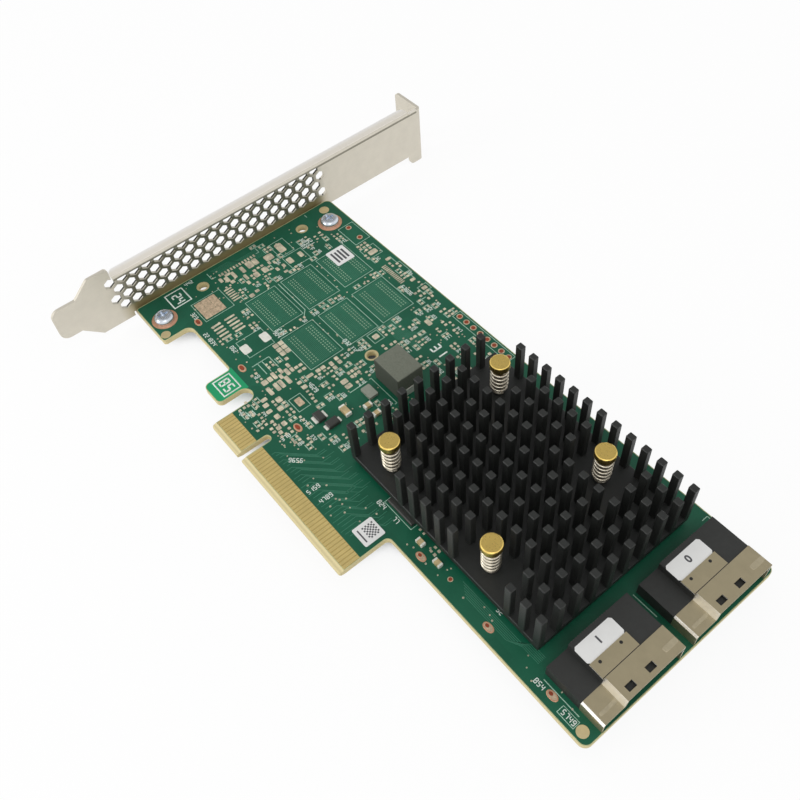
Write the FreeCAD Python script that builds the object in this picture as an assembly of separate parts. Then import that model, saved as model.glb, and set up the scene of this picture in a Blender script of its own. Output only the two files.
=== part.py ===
"""Storage adapter card: board on a perforated bracket, pin-fin heat sink on push pins, two cable ports.

Frame: +X along the card from the bracket to the ports, +Y from the contact tongue to the top edge,
+Z out of the component side. The origin is the middle of the key notch, at the tongue's tip, halfway
through the board. Heights named "above the board" start at the board's component face. Sizes in mm.
"""
import FreeCAD, Part
import math
import os

# Board outline
board_length = 155.65
board_height = 68.90
board_thickness = 1.57
key_to_back_edge = 58.30
key_to_tongue_back = 12.15
key_to_tongue_front = 39.15
key_width = 1.90
key_depth = 8.80
tongue_bevel_length = 1.30
tongue_bevel_depth = 0.38
tongue_corner = 0.60
tab_slot_width = 4.30
tab_slot_end = 12.95
tab_width = 7.35
tab_corner = 1.50
tab_root = 1.00
foot_width = 15.00
foot_edge = 4.83
foot_corner = 0.80
foot_root = 2.00
rear_lower_edge = 12.80
front_lower_edge = 13.40
front_root = 1.30
board_corner = 1.80

# Contact pads on the tongue
contact_pitch = 1.00
contact_width = 0.70
contact_thickness = 0.05
contact_start = 1.45
contact_end = 5.70
key_to_first_contact = 1.50
contacts_behind_key = 11
contacts_ahead_of_key = 38

# Plated holes: distance from the board's back edge, and height from the tongue's tip
plated_hole_radius = 1.25
rear_hole_from_back = 5.05
rear_hole_low = 22.80
rear_hole_below_top = 12.95
middle_hole_from_back = 54.94
middle_hole_height = 42.10

# Bracket sheet
bracket_sheet = 0.86
bracket_gap = 0.80
bend_inside_radius = 0.30
tab_bend_radius = 0.50
bracket_length = 120.90
ear_height = 105.60
tail_low = 2.20
tail_high = 12.10
tail_corner = 2.40
tail_low_end = -9.80
tail_low_slope_end = -5.00
tail_high_end = -8.20
shoulder_start = -3.50
shoulder_end = 2.30
shoulder_top = 16.20
shoulder_corner = 1.00
lip_top = 12.90
lip_reach = 3.30
lip_start = 2.70
lip_to_ear = 4.60
lip_corner = 1.80
ear_depth = 11.10
ear_top = 12.50
ear_nose = 3.10
ear_nose_width = 5.00
ear_nose_corner = 1.60
ear_corner = 1.20
ear_notch_width = 4.42
ear_notch_depth = 6.60
ear_notch_offset = 6.40

# Bracket vents: four staggered rows of hexagons
vent_across = 2.72
vent_pitch = 3.60
vent_row_pitch = 2.87
vent_first_row = 2.85
vent_first_place = 1.45
vent_rows = 4
vents_in_row = 19

# Bracket tabs and screws
screw_from_back = 8.35
screw_low = 8.90
screw_below_top = 5.45
screw_radius = 1.50
screw_clearance = 0.04
board_screw_hole_radius = 1.70
screw_head_radius = 2.65
screw_head_height = 1.90
screw_head_side = 0.85
screw_head_flat_radius = 1.95
screw_tip = 0.60
screw_recess_width = 0.75
screw_recess_length = 2.90
screw_recess_depth = 1.10
bracket_tab_width = 8.00
bracket_tab_end = 4.80
bracket_tab_corner = 1.80
bend_relief = 0.50

# Controller under the heat sink
controller_from_back = 101.90
controller_height = 40.50
package_side = 27.00
package_thickness = 1.05
lid_side = 20.00
lid_thickness = 0.35
lid_corner = 0.40
thermal_pad_thickness = 0.10

# Heat sink
sink_offset_x = 4.825
sink_offset_y = 1.205
sink_base_thickness = 1.60
sink_pin_length = 11.10
sink_columns = 15
sink_rows = 10
sink_pitch_x = 4.175
sink_pitch_y = 4.745
sink_pin_x = 1.80
sink_pin_y = 1.60
sink_clearing_x = 6.20
sink_clearing_y = 4.70
sink_corner_columns = 2

# Push pins and springs
push_pin_spacing = 32.40
push_pin_top = 13.60
push_pin_head_radius = 2.40
push_pin_head_height = 1.75
push_pin_head_chamfer = 0.25
push_pin_shank_radius = 0.90
push_pin_hole_radius = 1.50
sink_hole_radius = 1.30
push_pin_barb_radius = 1.72
push_pin_barb_length = 2.40
push_pin_tip_radius = 0.75
push_pin_split = 0.45
push_pin_seat = 0.05
spring_wire_radius = 0.38
spring_top_radius = 1.76
spring_foot_radius = 1.60
spring_seat = 0.02
spring_turn_count = 6
spring_step_count = 8
spring_side_count = 4

# Cable ports, from the lower one; heights above the board
port_count = 2
port_pitch = 25.85
port_low_edge = 17.90
port_width = 21.90
port_setback = 0.25
shell_sheet = 0.30
shell_top = 6.00
shelf_top = 3.70
shelf_width = 6.10
shell_step_slope = 0.60
shell_bend = 0.45
shell_length = 5.75
shell_tongue_length = 3.60
shell_tongue_width = 10.10
latch_window_length = 1.40
latch_window_width = 2.10
latch_window_setback = 1.70
latch_window_first = 8.55
latch_window_pitch = 5.50
housing_rear = 9.00
housing_step_lead = 0.50
nose_setback = 0.65
nose_gap = 0.70
card_slot_width = 12.40
card_slot_height = 1.80
card_slot_middle = 2.90
rear_wall = 1.50
port_contacts_in_row = 18
port_contact_pitch = 0.60
port_contact_width = 0.22
port_contact_sheet = 0.15
port_contact_setback = 2.00

# Stickers
sticker_thickness = 0.10
port_label_length = 4.20
port_label_corner = 0.50
edge_label_from_back = 91.00
edge_label_length = 5.30
edge_label_low = 8.15
edge_label_height = 5.45
board_sticker_from_back = 18.00
board_sticker_length = 6.20
board_sticker_below_top = 8.50
board_sticker_height = 5.70
sticker_corner = 0.25

# Power stage
inductor_from_back = 65.83
inductor_height = 42.30
inductor_length = 9.30
inductor_width = 7.60
inductor_body = 6.80
inductor_corner = 0.15
inductor_chamfer = 0.15
terminal_sheet = 0.20
terminal_width = 3.20
terminal_rise = 2.20
terminal_foot = 2.00
regulator_gap = 2.78
regulator_from_back = 63.90
regulator_length = 3.80
regulator_width = 2.60
regulator_thickness = 0.80
regulator_corner = 0.15
diode_from_back = 61.70
diode_height = 20.90
diode_length = 3.00
diode_width = 2.10
diode_thickness = 1.10
diode_gap = 1.00
diode_rise = 1.30
second_diode_length = 2.20
second_diode_width = 3.20
diode_chamfer = 0.20

# Memory chip beside the tongue, reaching under the heat sink's edge
chip_from_back = 94.70
chip_low = 18.70
chip_length = 8.40
chip_width = 5.80
chip_thickness = 1.00
chip_chamfer = 0.20

# Chip capacitors: one large one, and small ones at (distance from the back edge, height, degrees turned)
large_capacitor_length = 3.20
large_capacitor_width = 1.60
large_capacitor_from_back = 64.50
large_capacitor_height = 26.60
capacitor_length = 2.00
capacitor_width = 1.25
capacitor_thickness = 0.90
capacitor_places = [
    (66.90, 31.60, 90),
    (70.10, 31.80, 90),
    (103.20, 17.70, 0),
    (109.30, 17.30, 0),
]
underside_capacitor_length = 1.60
underside_capacitor_width = 0.80
underside_columns = 4
underside_rows = 4
underside_pitch = 4.00
underside_thickness = 0.50

# Flats round the small turned pieces and the holes that they pass through
turned_side_count = 16

Vector = FreeCAD.Vector
UP = Vector(0, 0, 1)

# Shared levels and edges worked out from the sizes above
board_top = board_thickness / 2
board_bottom = -board_thickness / 2
back_x = -key_to_back_edge
front_x = back_x + board_length
bracket_inner_x = back_x - bracket_gap
bracket_outer_x = bracket_inner_x - bracket_sheet
bracket_lower_z = board_bottom - bracket_sheet
bend_outside_radius = bend_inside_radius + bracket_sheet
lip_bend_z = board_top + lip_top - bend_outside_radius
ear_bend_y = ear_height - bend_outside_radius
lip_end = ear_height - lip_to_ear
screw_x = back_x + screw_from_back
screw_heights = (screw_low, board_height - screw_below_top)
controller_x = back_x + controller_from_back
sink_middle_x = controller_x + sink_offset_x
sink_middle_y = controller_height + sink_offset_y
sink_bottom_z = board_top + package_thickness + lid_thickness + thermal_pad_thickness
sink_base_top_z = sink_bottom_z + sink_base_thickness
sink_length = (sink_columns - 1) * sink_pitch_x + sink_pin_x
sink_width = (sink_rows - 1) * sink_pitch_y + sink_pin_y
shell_front_x = front_x - port_setback
shell_rear_x = shell_front_x - shell_length
housing_rear_x = shell_rear_x - housing_rear
housing_top_z = board_top + shell_top - shell_sheet
push_pin_places = [
    (controller_x + side_x * push_pin_spacing / 2, controller_height + side_y * push_pin_spacing / 2)
    for side_x in (-1, 1)
    for side_y in (-1, 1)
]
plated_hole_places = [
    (back_x + rear_hole_from_back, rear_hole_low),
    (back_x + rear_hole_from_back, board_height - rear_hole_below_top),
    (back_x + middle_hole_from_back, middle_hole_height),
]

# Closer than this, two points or levels are the same when drawing
drawing_tolerance = 1e-6


# Drawing helpers
def flat(level):
    """Places outline points (x, y) on the horizontal plane at this height."""
    return lambda x, y: Vector(x, y, level)


def upright(x):
    """Places outline points (y, z) on the plane across the card at this x."""
    return lambda y, z: Vector(x, y, z)


def lengthwise(y):
    """Places outline points (x, z) on the plane along the card at this y."""
    return lambda x, z: Vector(x, y, z)


def rounded_corner(before, corner, after, place):
    """Start, middle and end of the arc that rounds one outline corner by its own radius."""
    u, v, radius = corner
    to_before = Vector(before[0] - u, before[1] - v, 0).normalize()
    to_after = Vector(after[0] - u, after[1] - v, 0).normalize()
    half_angle = to_before.getAngle(to_after) / 2
    reach = radius / math.tan(half_angle)
    bisector = (to_before + to_after).normalize()
    middle = bisector * (radius / math.sin(half_angle) - radius)
    return [
        place(u + to_before.x * reach, v + to_before.y * reach),
        place(u + middle.x, v + middle.y),
        place(u + to_after.x * reach, v + to_after.y * reach),
    ]


def outline(corners, place):
    """Closed face through corners (u, v, radius); a radius of 0 keeps the corner sharp."""
    stops = []
    for i, corner in enumerate(corners):
        if corner[2] > 0:
            after = corners[(i + 1) % len(corners)]
            stops.append(rounded_corner(corners[i - 1], corner, after, place))
        else:
            stops.append([place(corner[0], corner[1])])
    edges = []
    for i, stop in enumerate(stops):
        if len(stop) == 3:
            edges.append(Part.Arc(*stop).toShape())
        start = stop[-1]
        end = stops[(i + 1) % len(stops)][0]
        if start.distanceToPoint(end) > drawing_tolerance:
            edges.append(Part.LineSegment(start, end).toShape())
    return Part.Face(Part.Wire(edges))


def sharp(points):
    """Outline corners with no rounding."""
    return [(u, v, 0) for u, v in points]


def rectangle(u0, u1, v0, v1, corner=0):
    """Outline corners of a rectangle whose corners are cut off by the given length."""
    if corner == 0:
        return sharp([(u0, v0), (u1, v0), (u1, v1), (u0, v1)])
    return sharp([
        (u0 + corner, v0),
        (u1 - corner, v0),
        (u1, v0 + corner),
        (u1, v1 - corner),
        (u1 - corner, v1),
        (u0 + corner, v1),
        (u0, v1 - corner),
        (u0, v0 + corner),
    ])


def block(x0, x1, y0, y1, z0, z1, corner=0):
    """Upright block with its four vertical edges cut off by corner."""
    return outline(rectangle(x0, x1, y0, y1, corner), flat(z0)).extrude(Vector(0, 0, z1 - z0))


def centred_block(x, y, length, width, z0, z1, corner=0):
    """Upright block centred on (x, y)."""
    return block(x - length / 2, x + length / 2, y - width / 2, y + width / 2, z0, z1, corner)


def closed_line(points):
    """Closed line through the points."""
    return Part.makePolygon(points + points[:1])


def facets(a, b, c, d):
    """Flat faces through four corners: one where they share a plane, or else two triangles."""
    if abs((b - a).cross(c - a).dot(d - a)) < drawing_tolerance:
        return [Part.Face(closed_line([a, b, c, d]))]
    return [Part.Face(closed_line([a, b, d])), Part.Face(closed_line([b, c, d]))]


def skin(rings):
    """Solid with flat facets between successive rings of points and a flat cap at each end."""
    faces = [Part.Face(closed_line(points)) for points in (rings[0], rings[-1])]
    for near, far in zip(rings, rings[1:]):
        for i in range(len(near)):
            faces += facets(near[i - 1], near[i], far[i], far[i - 1])
    return Part.makeSolid(Part.makeShell(faces))


def ring(x, y, radius, z):
    """Points of a level ring with turned_side_count flats round the upright axis at (x, y)."""
    turns = [2 * math.pi * i / turned_side_count for i in range(turned_side_count)]
    return [Vector(x + radius * math.cos(a), y + radius * math.sin(a), z) for a in turns]


def turned(profile, x, y):
    """Small turned piece about the upright axis at (x, y); profile holds (radius, z) from its lower end."""
    return skin([ring(x, y, radius, z) for radius, z in profile])


def hole_for_turned(x, y, z0, z1, radius):
    """Tool for the hole that a small turned piece passes through."""
    return turned([(radius, z0), (radius, z1)], x, y)


def top_edges(solid, level):
    """Edges of a solid that lie at one height."""
    return [edge for edge in solid.Edges if all(abs(v.Z - level) < drawing_tolerance for v in edge.Vertexes)]


def cut_all(solid, tools):
    """The solid with every tool cut away."""
    return solid.cut(Part.makeCompound(tools))


def save(name, solids):
    """Writes one node: a single solid, or a group of separate like solids."""
    shape = Part.makeCompound(solids) if isinstance(solids, list) else solids
    shape.exportStep("parts/" + name + ".step")


# Board
def board_corners():
    """Outline of the board from the bracket foot round to the top edge."""
    foot_x = back_x + foot_width
    tongue_back = -key_to_tongue_back
    tab_front = tongue_back - tab_slot_width
    tab_back = tab_front - tab_width
    key_half = key_width / 2
    return [
        (back_x, foot_edge, foot_corner),
        (foot_x, foot_edge, foot_corner),
        (foot_x, rear_lower_edge, foot_root),
        (tab_back, rear_lower_edge, tab_root),
        (tab_back, foot_edge, tab_corner),
        (tab_front, foot_edge, tab_corner),
        (tab_front, tab_slot_end, tab_slot_width / 2),
        (tongue_back, tab_slot_end, tab_slot_width / 2),
        (tongue_back, 0, tongue_corner),
        (-key_half, 0, 0),
        (-key_half, key_depth, key_half),
        (key_half, key_depth, key_half),
        (key_half, 0, 0),
        (key_to_tongue_front, 0, tongue_corner),
        (key_to_tongue_front, front_lower_edge, front_root),
        (front_x, front_lower_edge, board_corner),
        (front_x, board_height, board_corner),
        (back_x, board_height, board_corner),
    ]


def tongue_bevel(face_z):
    """Wedge that bevels the tongue's tip on one face of the board."""
    depth = math.copysign(tongue_bevel_depth, face_z)
    points = [(0, face_z), (tongue_bevel_length, face_z), (0, face_z - depth)]
    face = outline(sharp(points), upright(-key_to_tongue_back))
    return face.extrude(Vector(key_to_tongue_back + key_to_tongue_front, 0, 0))


def make_board():
    """Board with its bevelled tongue and its through holes."""
    board = outline(board_corners(), flat(board_bottom)).extrude(UP * board_thickness)
    cuts = [tongue_bevel(board_top), tongue_bevel(board_bottom)]
    for x, y in plated_hole_places:
        cuts.append(Part.makeCylinder(plated_hole_radius, board_thickness, Vector(x, y, board_bottom), UP))
    for y in screw_heights:
        cuts.append(hole_for_turned(screw_x, y, board_bottom, board_top, board_screw_hole_radius))
    for x, y in push_pin_places:
        cuts.append(hole_for_turned(x, y, board_bottom, board_top, push_pin_hole_radius))
    return cut_all(board, cuts)


def make_contacts(z0):
    """Row of contact pads on one face of the tongue, on both sides of the key notch."""
    places = [-key_to_first_contact - i * contact_pitch for i in range(contacts_behind_key)]
    places += [key_to_first_contact + i * contact_pitch for i in range(contacts_ahead_of_key)]
    half = contact_width / 2
    return [block(x - half, x + half, contact_start, contact_end, z0, z0 + contact_thickness) for x in places]


# Bracket
def bracket_plate():
    """Flat of the bracket, from the tail to the ear's bend, without its folds."""
    tail_tip = ear_height - bracket_length
    nose_start = ear_height - ear_nose_width
    nose_z = bracket_lower_z - ear_nose
    corners = [
        (tail_tip, board_top + tail_low, tail_corner),
        (tail_low_end, board_top + tail_low, 0),
        (tail_low_slope_end, bracket_lower_z, 0),
        (nose_start, bracket_lower_z, 0),
        (nose_start, nose_z, ear_nose_corner),
        (ear_bend_y, nose_z, 0),
        (ear_bend_y, board_top + ear_top, 0),
        (lip_end, board_top + ear_top, 0),
        (lip_end, lip_bend_z, 0),
        (shoulder_end, lip_bend_z, 0),
        (shoulder_end, board_top + shoulder_top, shoulder_corner),
        (shoulder_start, board_top + shoulder_top, shoulder_corner),
        (tail_high_end, board_top + tail_high, 0),
        (tail_tip, board_top + tail_high, tail_corner),
    ]
    return outline(corners, upright(bracket_outer_x)).extrude(Vector(bracket_sheet, 0, 0))


def fold(axis_u, axis_v, inside, turn_u, turn_v, reach, place):
    """Section of a fold: a quarter bend about (axis_u, axis_v) and a flat that runs on by reach.

    The bend starts on the u side of its axis that turn_u gives and runs to the v side that turn_v gives;
    the flat then leads away from the start, along u.
    """
    outside = inside + bracket_sheet
    slant = math.sqrt(0.5)
    far_u = axis_u - turn_u * reach
    inner_v = axis_v + turn_v * inside
    outer_v = axis_v + turn_v * outside
    start_in = place(axis_u + turn_u * inside, axis_v)
    start_out = place(axis_u + turn_u * outside, axis_v)
    middle_in = place(axis_u + turn_u * inside * slant, axis_v + turn_v * inside * slant)
    middle_out = place(axis_u + turn_u * outside * slant, axis_v + turn_v * outside * slant)
    edges = [
        Part.LineSegment(start_in, start_out).toShape(),
        Part.Arc(start_out, middle_out, place(axis_u, outer_v)).toShape(),
        Part.LineSegment(place(axis_u, outer_v), place(far_u, outer_v)).toShape(),
        Part.LineSegment(place(far_u, outer_v), place(far_u, inner_v)).toShape(),
        Part.LineSegment(place(far_u, inner_v), place(axis_u, inner_v)).toShape(),
        Part.Arc(place(axis_u, inner_v), middle_in, start_in).toShape(),
    ]
    return Part.Face(Part.Wire(edges))


def bracket_lip():
    """Lip folded outwards along the bracket's upper edge, with rounded free corners."""
    axis_x = bracket_inner_x - bend_outside_radius
    flat_reach = lip_reach - bend_outside_radius
    section = fold(axis_x, lip_bend_z, bend_inside_radius, 1, 1, flat_reach, lengthwise(lip_start))
    lip = section.extrude(Vector(0, lip_end - lip_start, 0))
    far_x = bracket_inner_x - lip_reach
    plan = [
        (far_x, lip_start, lip_corner),
        (bracket_inner_x, lip_start, 0),
        (bracket_inner_x, lip_end, 0),
        (far_x, lip_end, lip_corner),
    ]
    return lip.common(outline(plan, flat(lip_bend_z)).extrude(UP * bend_outside_radius))


def bracket_ear():
    """Ear folded outwards at the bracket's top end, with an open screw notch."""
    axis_x = bracket_inner_x - bend_outside_radius
    low_z = bracket_lower_z - ear_nose
    high_z = board_top + ear_top
    flat_reach = ear_depth - bend_outside_radius
    section = fold(axis_x, ear_bend_y, bend_inside_radius, 1, 1, flat_reach, flat(low_z))
    ear = section.extrude(UP * (high_z - low_z))
    far_x = bracket_inner_x - ear_depth
    front = [
        (far_x, low_z, ear_corner),
        (bracket_inner_x, low_z, 0),
        (bracket_inner_x, high_z, 0),
        (far_x, high_z, ear_corner),
    ]
    ear = ear.common(outline(front, lengthwise(ear_bend_y)).extrude(Vector(0, bend_outside_radius, 0)))
    notch_x = bracket_inner_x - ear_notch_offset
    half = ear_notch_width / 2
    notch_end = low_z + ear_notch_depth
    notch = [
        (notch_x - half, low_z, 0),
        (notch_x + half, low_z, 0),
        (notch_x + half, notch_end, half),
        (notch_x - half, notch_end, half),
    ]
    return ear.cut(outline(notch, lengthwise(ear_bend_y)).extrude(Vector(0, bend_outside_radius, 0)))


def bracket_tab(y):
    """Tab folded under the board at one screw, with its screw hole."""
    axis_x = bracket_inner_x + tab_bend_radius
    axis_z = board_bottom + tab_bend_radius
    end_x = screw_x + bracket_tab_end
    low = y - bracket_tab_width / 2
    high = y + bracket_tab_width / 2
    section = fold(axis_x, axis_z, tab_bend_radius, -1, -1, end_x - axis_x, lengthwise(low))
    tab = section.extrude(Vector(0, bracket_tab_width, 0))
    plan = [
        (bracket_outer_x, low, 0),
        (end_x, low, bracket_tab_corner),
        (end_x, high, bracket_tab_corner),
        (bracket_outer_x, high, 0),
    ]
    tab = tab.common(outline(plan, flat(bracket_lower_z)).extrude(UP * (tab_bend_radius + bracket_sheet)))
    hole_radius = screw_radius + screw_clearance
    return tab.cut(hole_for_turned(screw_x, y, bracket_lower_z, board_bottom, hole_radius))


def tab_relief(y):
    """Room in the bracket's lower edge for one tab's bend and the slits beside it."""
    half = bracket_tab_width / 2 + bend_relief
    top = board_bottom + tab_bend_radius
    points = rectangle(y - half, y + half, bracket_lower_z, top)
    return outline(points, upright(bracket_outer_x)).extrude(Vector(bracket_sheet, 0, 0))


def vent_tools():
    """Hexagonal vents in staggered rows; the top row stops at the lip's bend."""
    corner = vent_across / 2 / math.cos(math.pi / 6)
    tools = []
    for row in range(vent_rows):
        z = board_top + vent_first_row + row * vent_row_pitch
        stagger = vent_pitch / 2 if row % 2 == 0 else 0
        for i in range(vents_in_row):
            y = vent_first_place + stagger + i * vent_pitch
            turns = [math.radians(30 + 60 * side) for side in range(6)]
            points = [(y + corner * math.cos(a), z + corner * math.sin(a)) for a in turns]
            hexagon = outline(sharp(points), upright(bracket_outer_x))
            tools.append(hexagon.extrude(Vector(bracket_sheet, 0, 0)))
    return tools


def make_bracket():
    """Bracket folded from one sheet."""
    plate = cut_all(bracket_plate(), [tab_relief(y) for y in screw_heights])
    start = vent_first_place - vent_pitch
    below_bend = block(bracket_outer_x, bracket_inner_x, start, ear_height, bracket_lower_z, lip_bend_z)
    shoulder_z = board_top + shoulder_top
    beside_lip = block(bracket_outer_x, bracket_inner_x, start, shoulder_end, bracket_lower_z, shoulder_z)
    vents = Part.makeCompound(vent_tools()).common(below_bend.fuse(beside_lip))
    plate = plate.cut(vents)
    folds = [bracket_lip(), bracket_ear()] + [bracket_tab(y) for y in screw_heights]
    return plate.multiFuse(folds).removeSplitter()


def make_screw(y):
    """Pan-head screw with a cross recess, from the board's face into a bracket tab."""
    head_top = board_top + screw_head_height
    tip = bracket_lower_z - screw_tip
    profile = [
        (screw_radius, tip),
        (screw_radius, board_top),
        (screw_head_radius, board_top),
        (screw_head_radius, board_top + screw_head_side),
        (screw_head_flat_radius, head_top),
    ]
    screw = turned(profile, screw_x, y)
    floor = head_top - screw_recess_depth
    cross = [
        centred_block(screw_x, y, screw_recess_length, screw_recess_width, floor, head_top),
        centred_block(screw_x, y, screw_recess_width, screw_recess_length, floor, head_top),
    ]
    return cut_all(screw, cross)


# Heat sink and controller
def near_push_pin(x, y):
    """True where a fin pin would stand in the room cleared for a push pin."""
    for pin_x, pin_y in push_pin_places:
        if abs(x - pin_x) < sink_clearing_x and abs(y - pin_y) < sink_clearing_y:
            return True
    return False


def make_heat_sink():
    """Pin-fin heat sink with the fin pins cleared round the push pins and at one corner."""
    x0 = sink_middle_x - sink_length / 2
    y0 = sink_middle_y - sink_width / 2
    base = block(x0, x0 + sink_length, y0, y0 + sink_width, sink_bottom_z, sink_base_top_z)
    holes = []
    for x, y in push_pin_places:
        holes.append(hole_for_turned(x, y, sink_bottom_z, sink_base_top_z, sink_hole_radius))
    pins = []
    for column in range(sink_columns):
        for row in range(sink_rows):
            x = x0 + sink_pin_x / 2 + column * sink_pitch_x
            y = y0 + sink_pin_y / 2 + row * sink_pitch_y
            at_corner = column < sink_corner_columns and row == sink_rows - 1
            if not at_corner and not near_push_pin(x, y):
                top = sink_base_top_z + sink_pin_length
                pins.append(centred_block(x, y, sink_pin_x, sink_pin_y, sink_base_top_z, top))
    return cut_all(base, holes).multiFuse(pins).removeSplitter()


def make_push_pin(x, y):
    """Brass push pin: round head, slim shank and a split barb that catches below the board."""
    head_top = board_top + push_pin_top
    head_low = head_top - push_pin_head_height
    barb_top = board_bottom - push_pin_seat
    barb_tip = barb_top - push_pin_barb_length
    profile = [
        (push_pin_tip_radius, barb_tip),
        (push_pin_barb_radius, barb_top),
        (push_pin_shank_radius, barb_top),
        (push_pin_shank_radius, head_low),
        (push_pin_head_radius, head_low),
        (push_pin_head_radius, head_top - push_pin_head_chamfer),
        (push_pin_head_radius - push_pin_head_chamfer, head_top),
    ]
    pin = turned(profile, x, y)
    split = centred_block(x, y, push_pin_split, 2 * push_pin_barb_radius, barb_tip, board_bottom)
    return pin.cut(split)


def make_spring(x, y):
    """Coil spring between the heat sink's base and a push pin's head, narrower at its foot."""
    foot_z = sink_base_top_z + spring_wire_radius + spring_seat
    head_z = board_top + push_pin_top - push_pin_head_height - spring_wire_radius - spring_seat
    steps = spring_turn_count * spring_step_count
    rings = []
    for i in range(steps + 1):
        turn = 2 * math.pi * i / spring_step_count
        radius = spring_foot_radius + (spring_top_radius - spring_foot_radius) * i / steps
        middle = Vector(x + radius * math.cos(turn), y + radius * math.sin(turn), foot_z)
        middle.z += (head_z - foot_z) * i / steps
        outwards = Vector(math.cos(turn), math.sin(turn), 0) * spring_wire_radius
        upwards = UP * spring_wire_radius
        angles = [2 * math.pi * side / spring_side_count for side in range(spring_side_count)]
        rings.append([middle + outwards * math.cos(a) + upwards * math.sin(a) for a in angles])
    return skin(rings)


# Cable ports
def shell_corners(low, inset, foot_z):
    """Stepped section of a port shell, low at its first edge, drawn inwards by inset."""
    step_y = low + shelf_width + inset
    side_y = low + inset
    far_y = low + port_width - inset
    roof_z = board_top + shell_top - inset
    shelf_z = board_top + shelf_top - inset
    return sharp([
        (side_y, foot_z),
        (far_y, foot_z),
        (far_y, roof_z),
        (step_y, roof_z),
        (step_y - shell_step_slope, shelf_z),
        (side_y + shell_bend, shelf_z),
        (side_y, shelf_z - shell_bend),
    ])


def housing_step(low):
    """Edge of the tall part of a port's housing, which wraps the shell's step."""
    return low + shelf_width - housing_step_lead


def make_port_shell(low):
    """Stepped sheet shell, open to the front, with latch windows and a tongue on the housing."""
    length = Vector(shell_length, 0, 0)
    outside = outline(shell_corners(low, 0, board_top), upright(shell_rear_x))
    inside = outline(shell_corners(low, shell_sheet, board_top), upright(shell_rear_x))
    shell = outside.extrude(length).cut(inside.extrude(length))
    roof_z = board_top + shell_top
    tongue_y = housing_step(low)
    tongue_x = shell_rear_x - shell_tongue_length
    tongue = block(tongue_x, shell_rear_x, tongue_y, tongue_y + shell_tongue_width, housing_top_z, roof_z)
    shell = shell.fuse(tongue).removeSplitter()
    window_x = shell_front_x - latch_window_setback
    cuts = []
    for i in range(2):
        window_y = low + latch_window_first + i * latch_window_pitch
        cuts.append(centred_block(
            window_x, window_y, latch_window_length, latch_window_width, housing_top_z, roof_z
        ))
    return cut_all(shell, cuts)


def slot_middle(low):
    """Middle of a port's card slot, in the tall part of its shell."""
    return low + (shelf_width + port_width) / 2


def make_port_housing(low):
    """Insulator: a stepped rear block and a nose inside the shell, with a card slot."""
    rear_corners = sharp([
        (low, board_top),
        (low + port_width, board_top),
        (low + port_width, housing_top_z),
        (housing_step(low), housing_top_z),
        (housing_step(low), board_top + shelf_top),
        (low, board_top + shelf_top),
    ])
    rear = outline(rear_corners, upright(housing_rear_x)).extrude(Vector(housing_rear, 0, 0))
    nose_face = outline(shell_corners(low, shell_sheet + nose_gap, board_top), upright(shell_rear_x))
    nose = nose_face.extrude(Vector(shell_length - nose_setback, 0, 0))
    middle = slot_middle(low)
    half_slot = card_slot_width / 2
    slot_z = board_top + card_slot_middle - card_slot_height / 2
    slot_front_x = shell_front_x - nose_setback
    slot = block(
        housing_rear_x + rear_wall, slot_front_x, middle - half_slot, middle + half_slot,
        slot_z, slot_z + card_slot_height
    )
    return rear.fuse(nose).removeSplitter().cut(slot)


def port_contact(y, z):
    """Contact strip along the card slot, from its rear wall to behind its mouth."""
    tip_x = shell_front_x - nose_setback - port_contact_setback
    half = port_contact_width / 2
    return block(housing_rear_x + rear_wall, tip_x, y - half, y + half, z, z + port_contact_sheet)


def make_port_contacts(low):
    """Contacts on the card slot's roof and floor, staggered by half a pitch."""
    slot_low = board_top + card_slot_middle - card_slot_height / 2
    slot_high = slot_low + card_slot_height - port_contact_sheet
    first = slot_middle(low) - (port_contacts_in_row - 0.5) * port_contact_pitch / 2
    contacts = []
    for i in range(port_contacts_in_row):
        y = first + i * port_contact_pitch
        contacts.append(port_contact(y, slot_high))
        contacts.append(port_contact(y + port_contact_pitch / 2, slot_low))
    return contacts


def make_port_label(low):
    """Sticker on the housing behind the shell's tongue, as wide as the tongue."""
    front = shell_rear_x - shell_tongue_length
    side = housing_step(low)
    far_side = side + shell_tongue_width
    top = housing_top_z + sticker_thickness
    return block(front - port_label_length, front, side, far_side, housing_top_z, top, port_label_corner)


# Stickers and small parts on the board
def make_board_sticker(from_back, length, low, height):
    """Blank sticker with clipped corners on the board's face."""
    x = back_x + from_back
    return block(x, x + length, low, low + height, board_top, board_top + sticker_thickness, sticker_corner)


def make_inductor():
    """Block inductor with chamfered uprights and top, standing on its clips' feet."""
    low = board_top + terminal_sheet
    top = low + inductor_body
    x = back_x + inductor_from_back
    body = centred_block(x, inductor_height, inductor_length, inductor_width, low, top, inductor_corner)
    return body.makeChamfer(inductor_chamfer, top_edges(body, top))


def make_inductor_terminal(side):
    """End clip of the inductor: a foot under the body and a strip up its end face."""
    end_x = back_x + inductor_from_back + side * inductor_length / 2
    foot_x = end_x - side * terminal_foot
    outer_x = end_x + side * terminal_sheet
    low = board_top
    points = [
        (foot_x, low),
        (outer_x, low),
        (outer_x, low + terminal_rise),
        (end_x, low + terminal_rise),
        (end_x, low + terminal_sheet),
        (foot_x, low + terminal_sheet),
    ]
    face = outline(sharp(points), lengthwise(inductor_height - terminal_width / 2))
    return face.extrude(Vector(0, terminal_width, 0))


def make_regulator():
    """Leadless package beside the inductor, towards the tongue."""
    top = board_top + regulator_thickness
    x = back_x + regulator_from_back
    y = inductor_height - inductor_width / 2 - regulator_gap - regulator_width / 2
    return centred_block(x, y, regulator_length, regulator_width, board_top, top, regulator_corner)


def moulded_package(x, y, length, width, thickness, chamfer):
    """Moulded package on the board with a chamfered top."""
    top = board_top + thickness
    body = centred_block(x, y, length, width, board_top, top)
    return body.makeChamfer(chamfer, top_edges(body, top))


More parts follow.
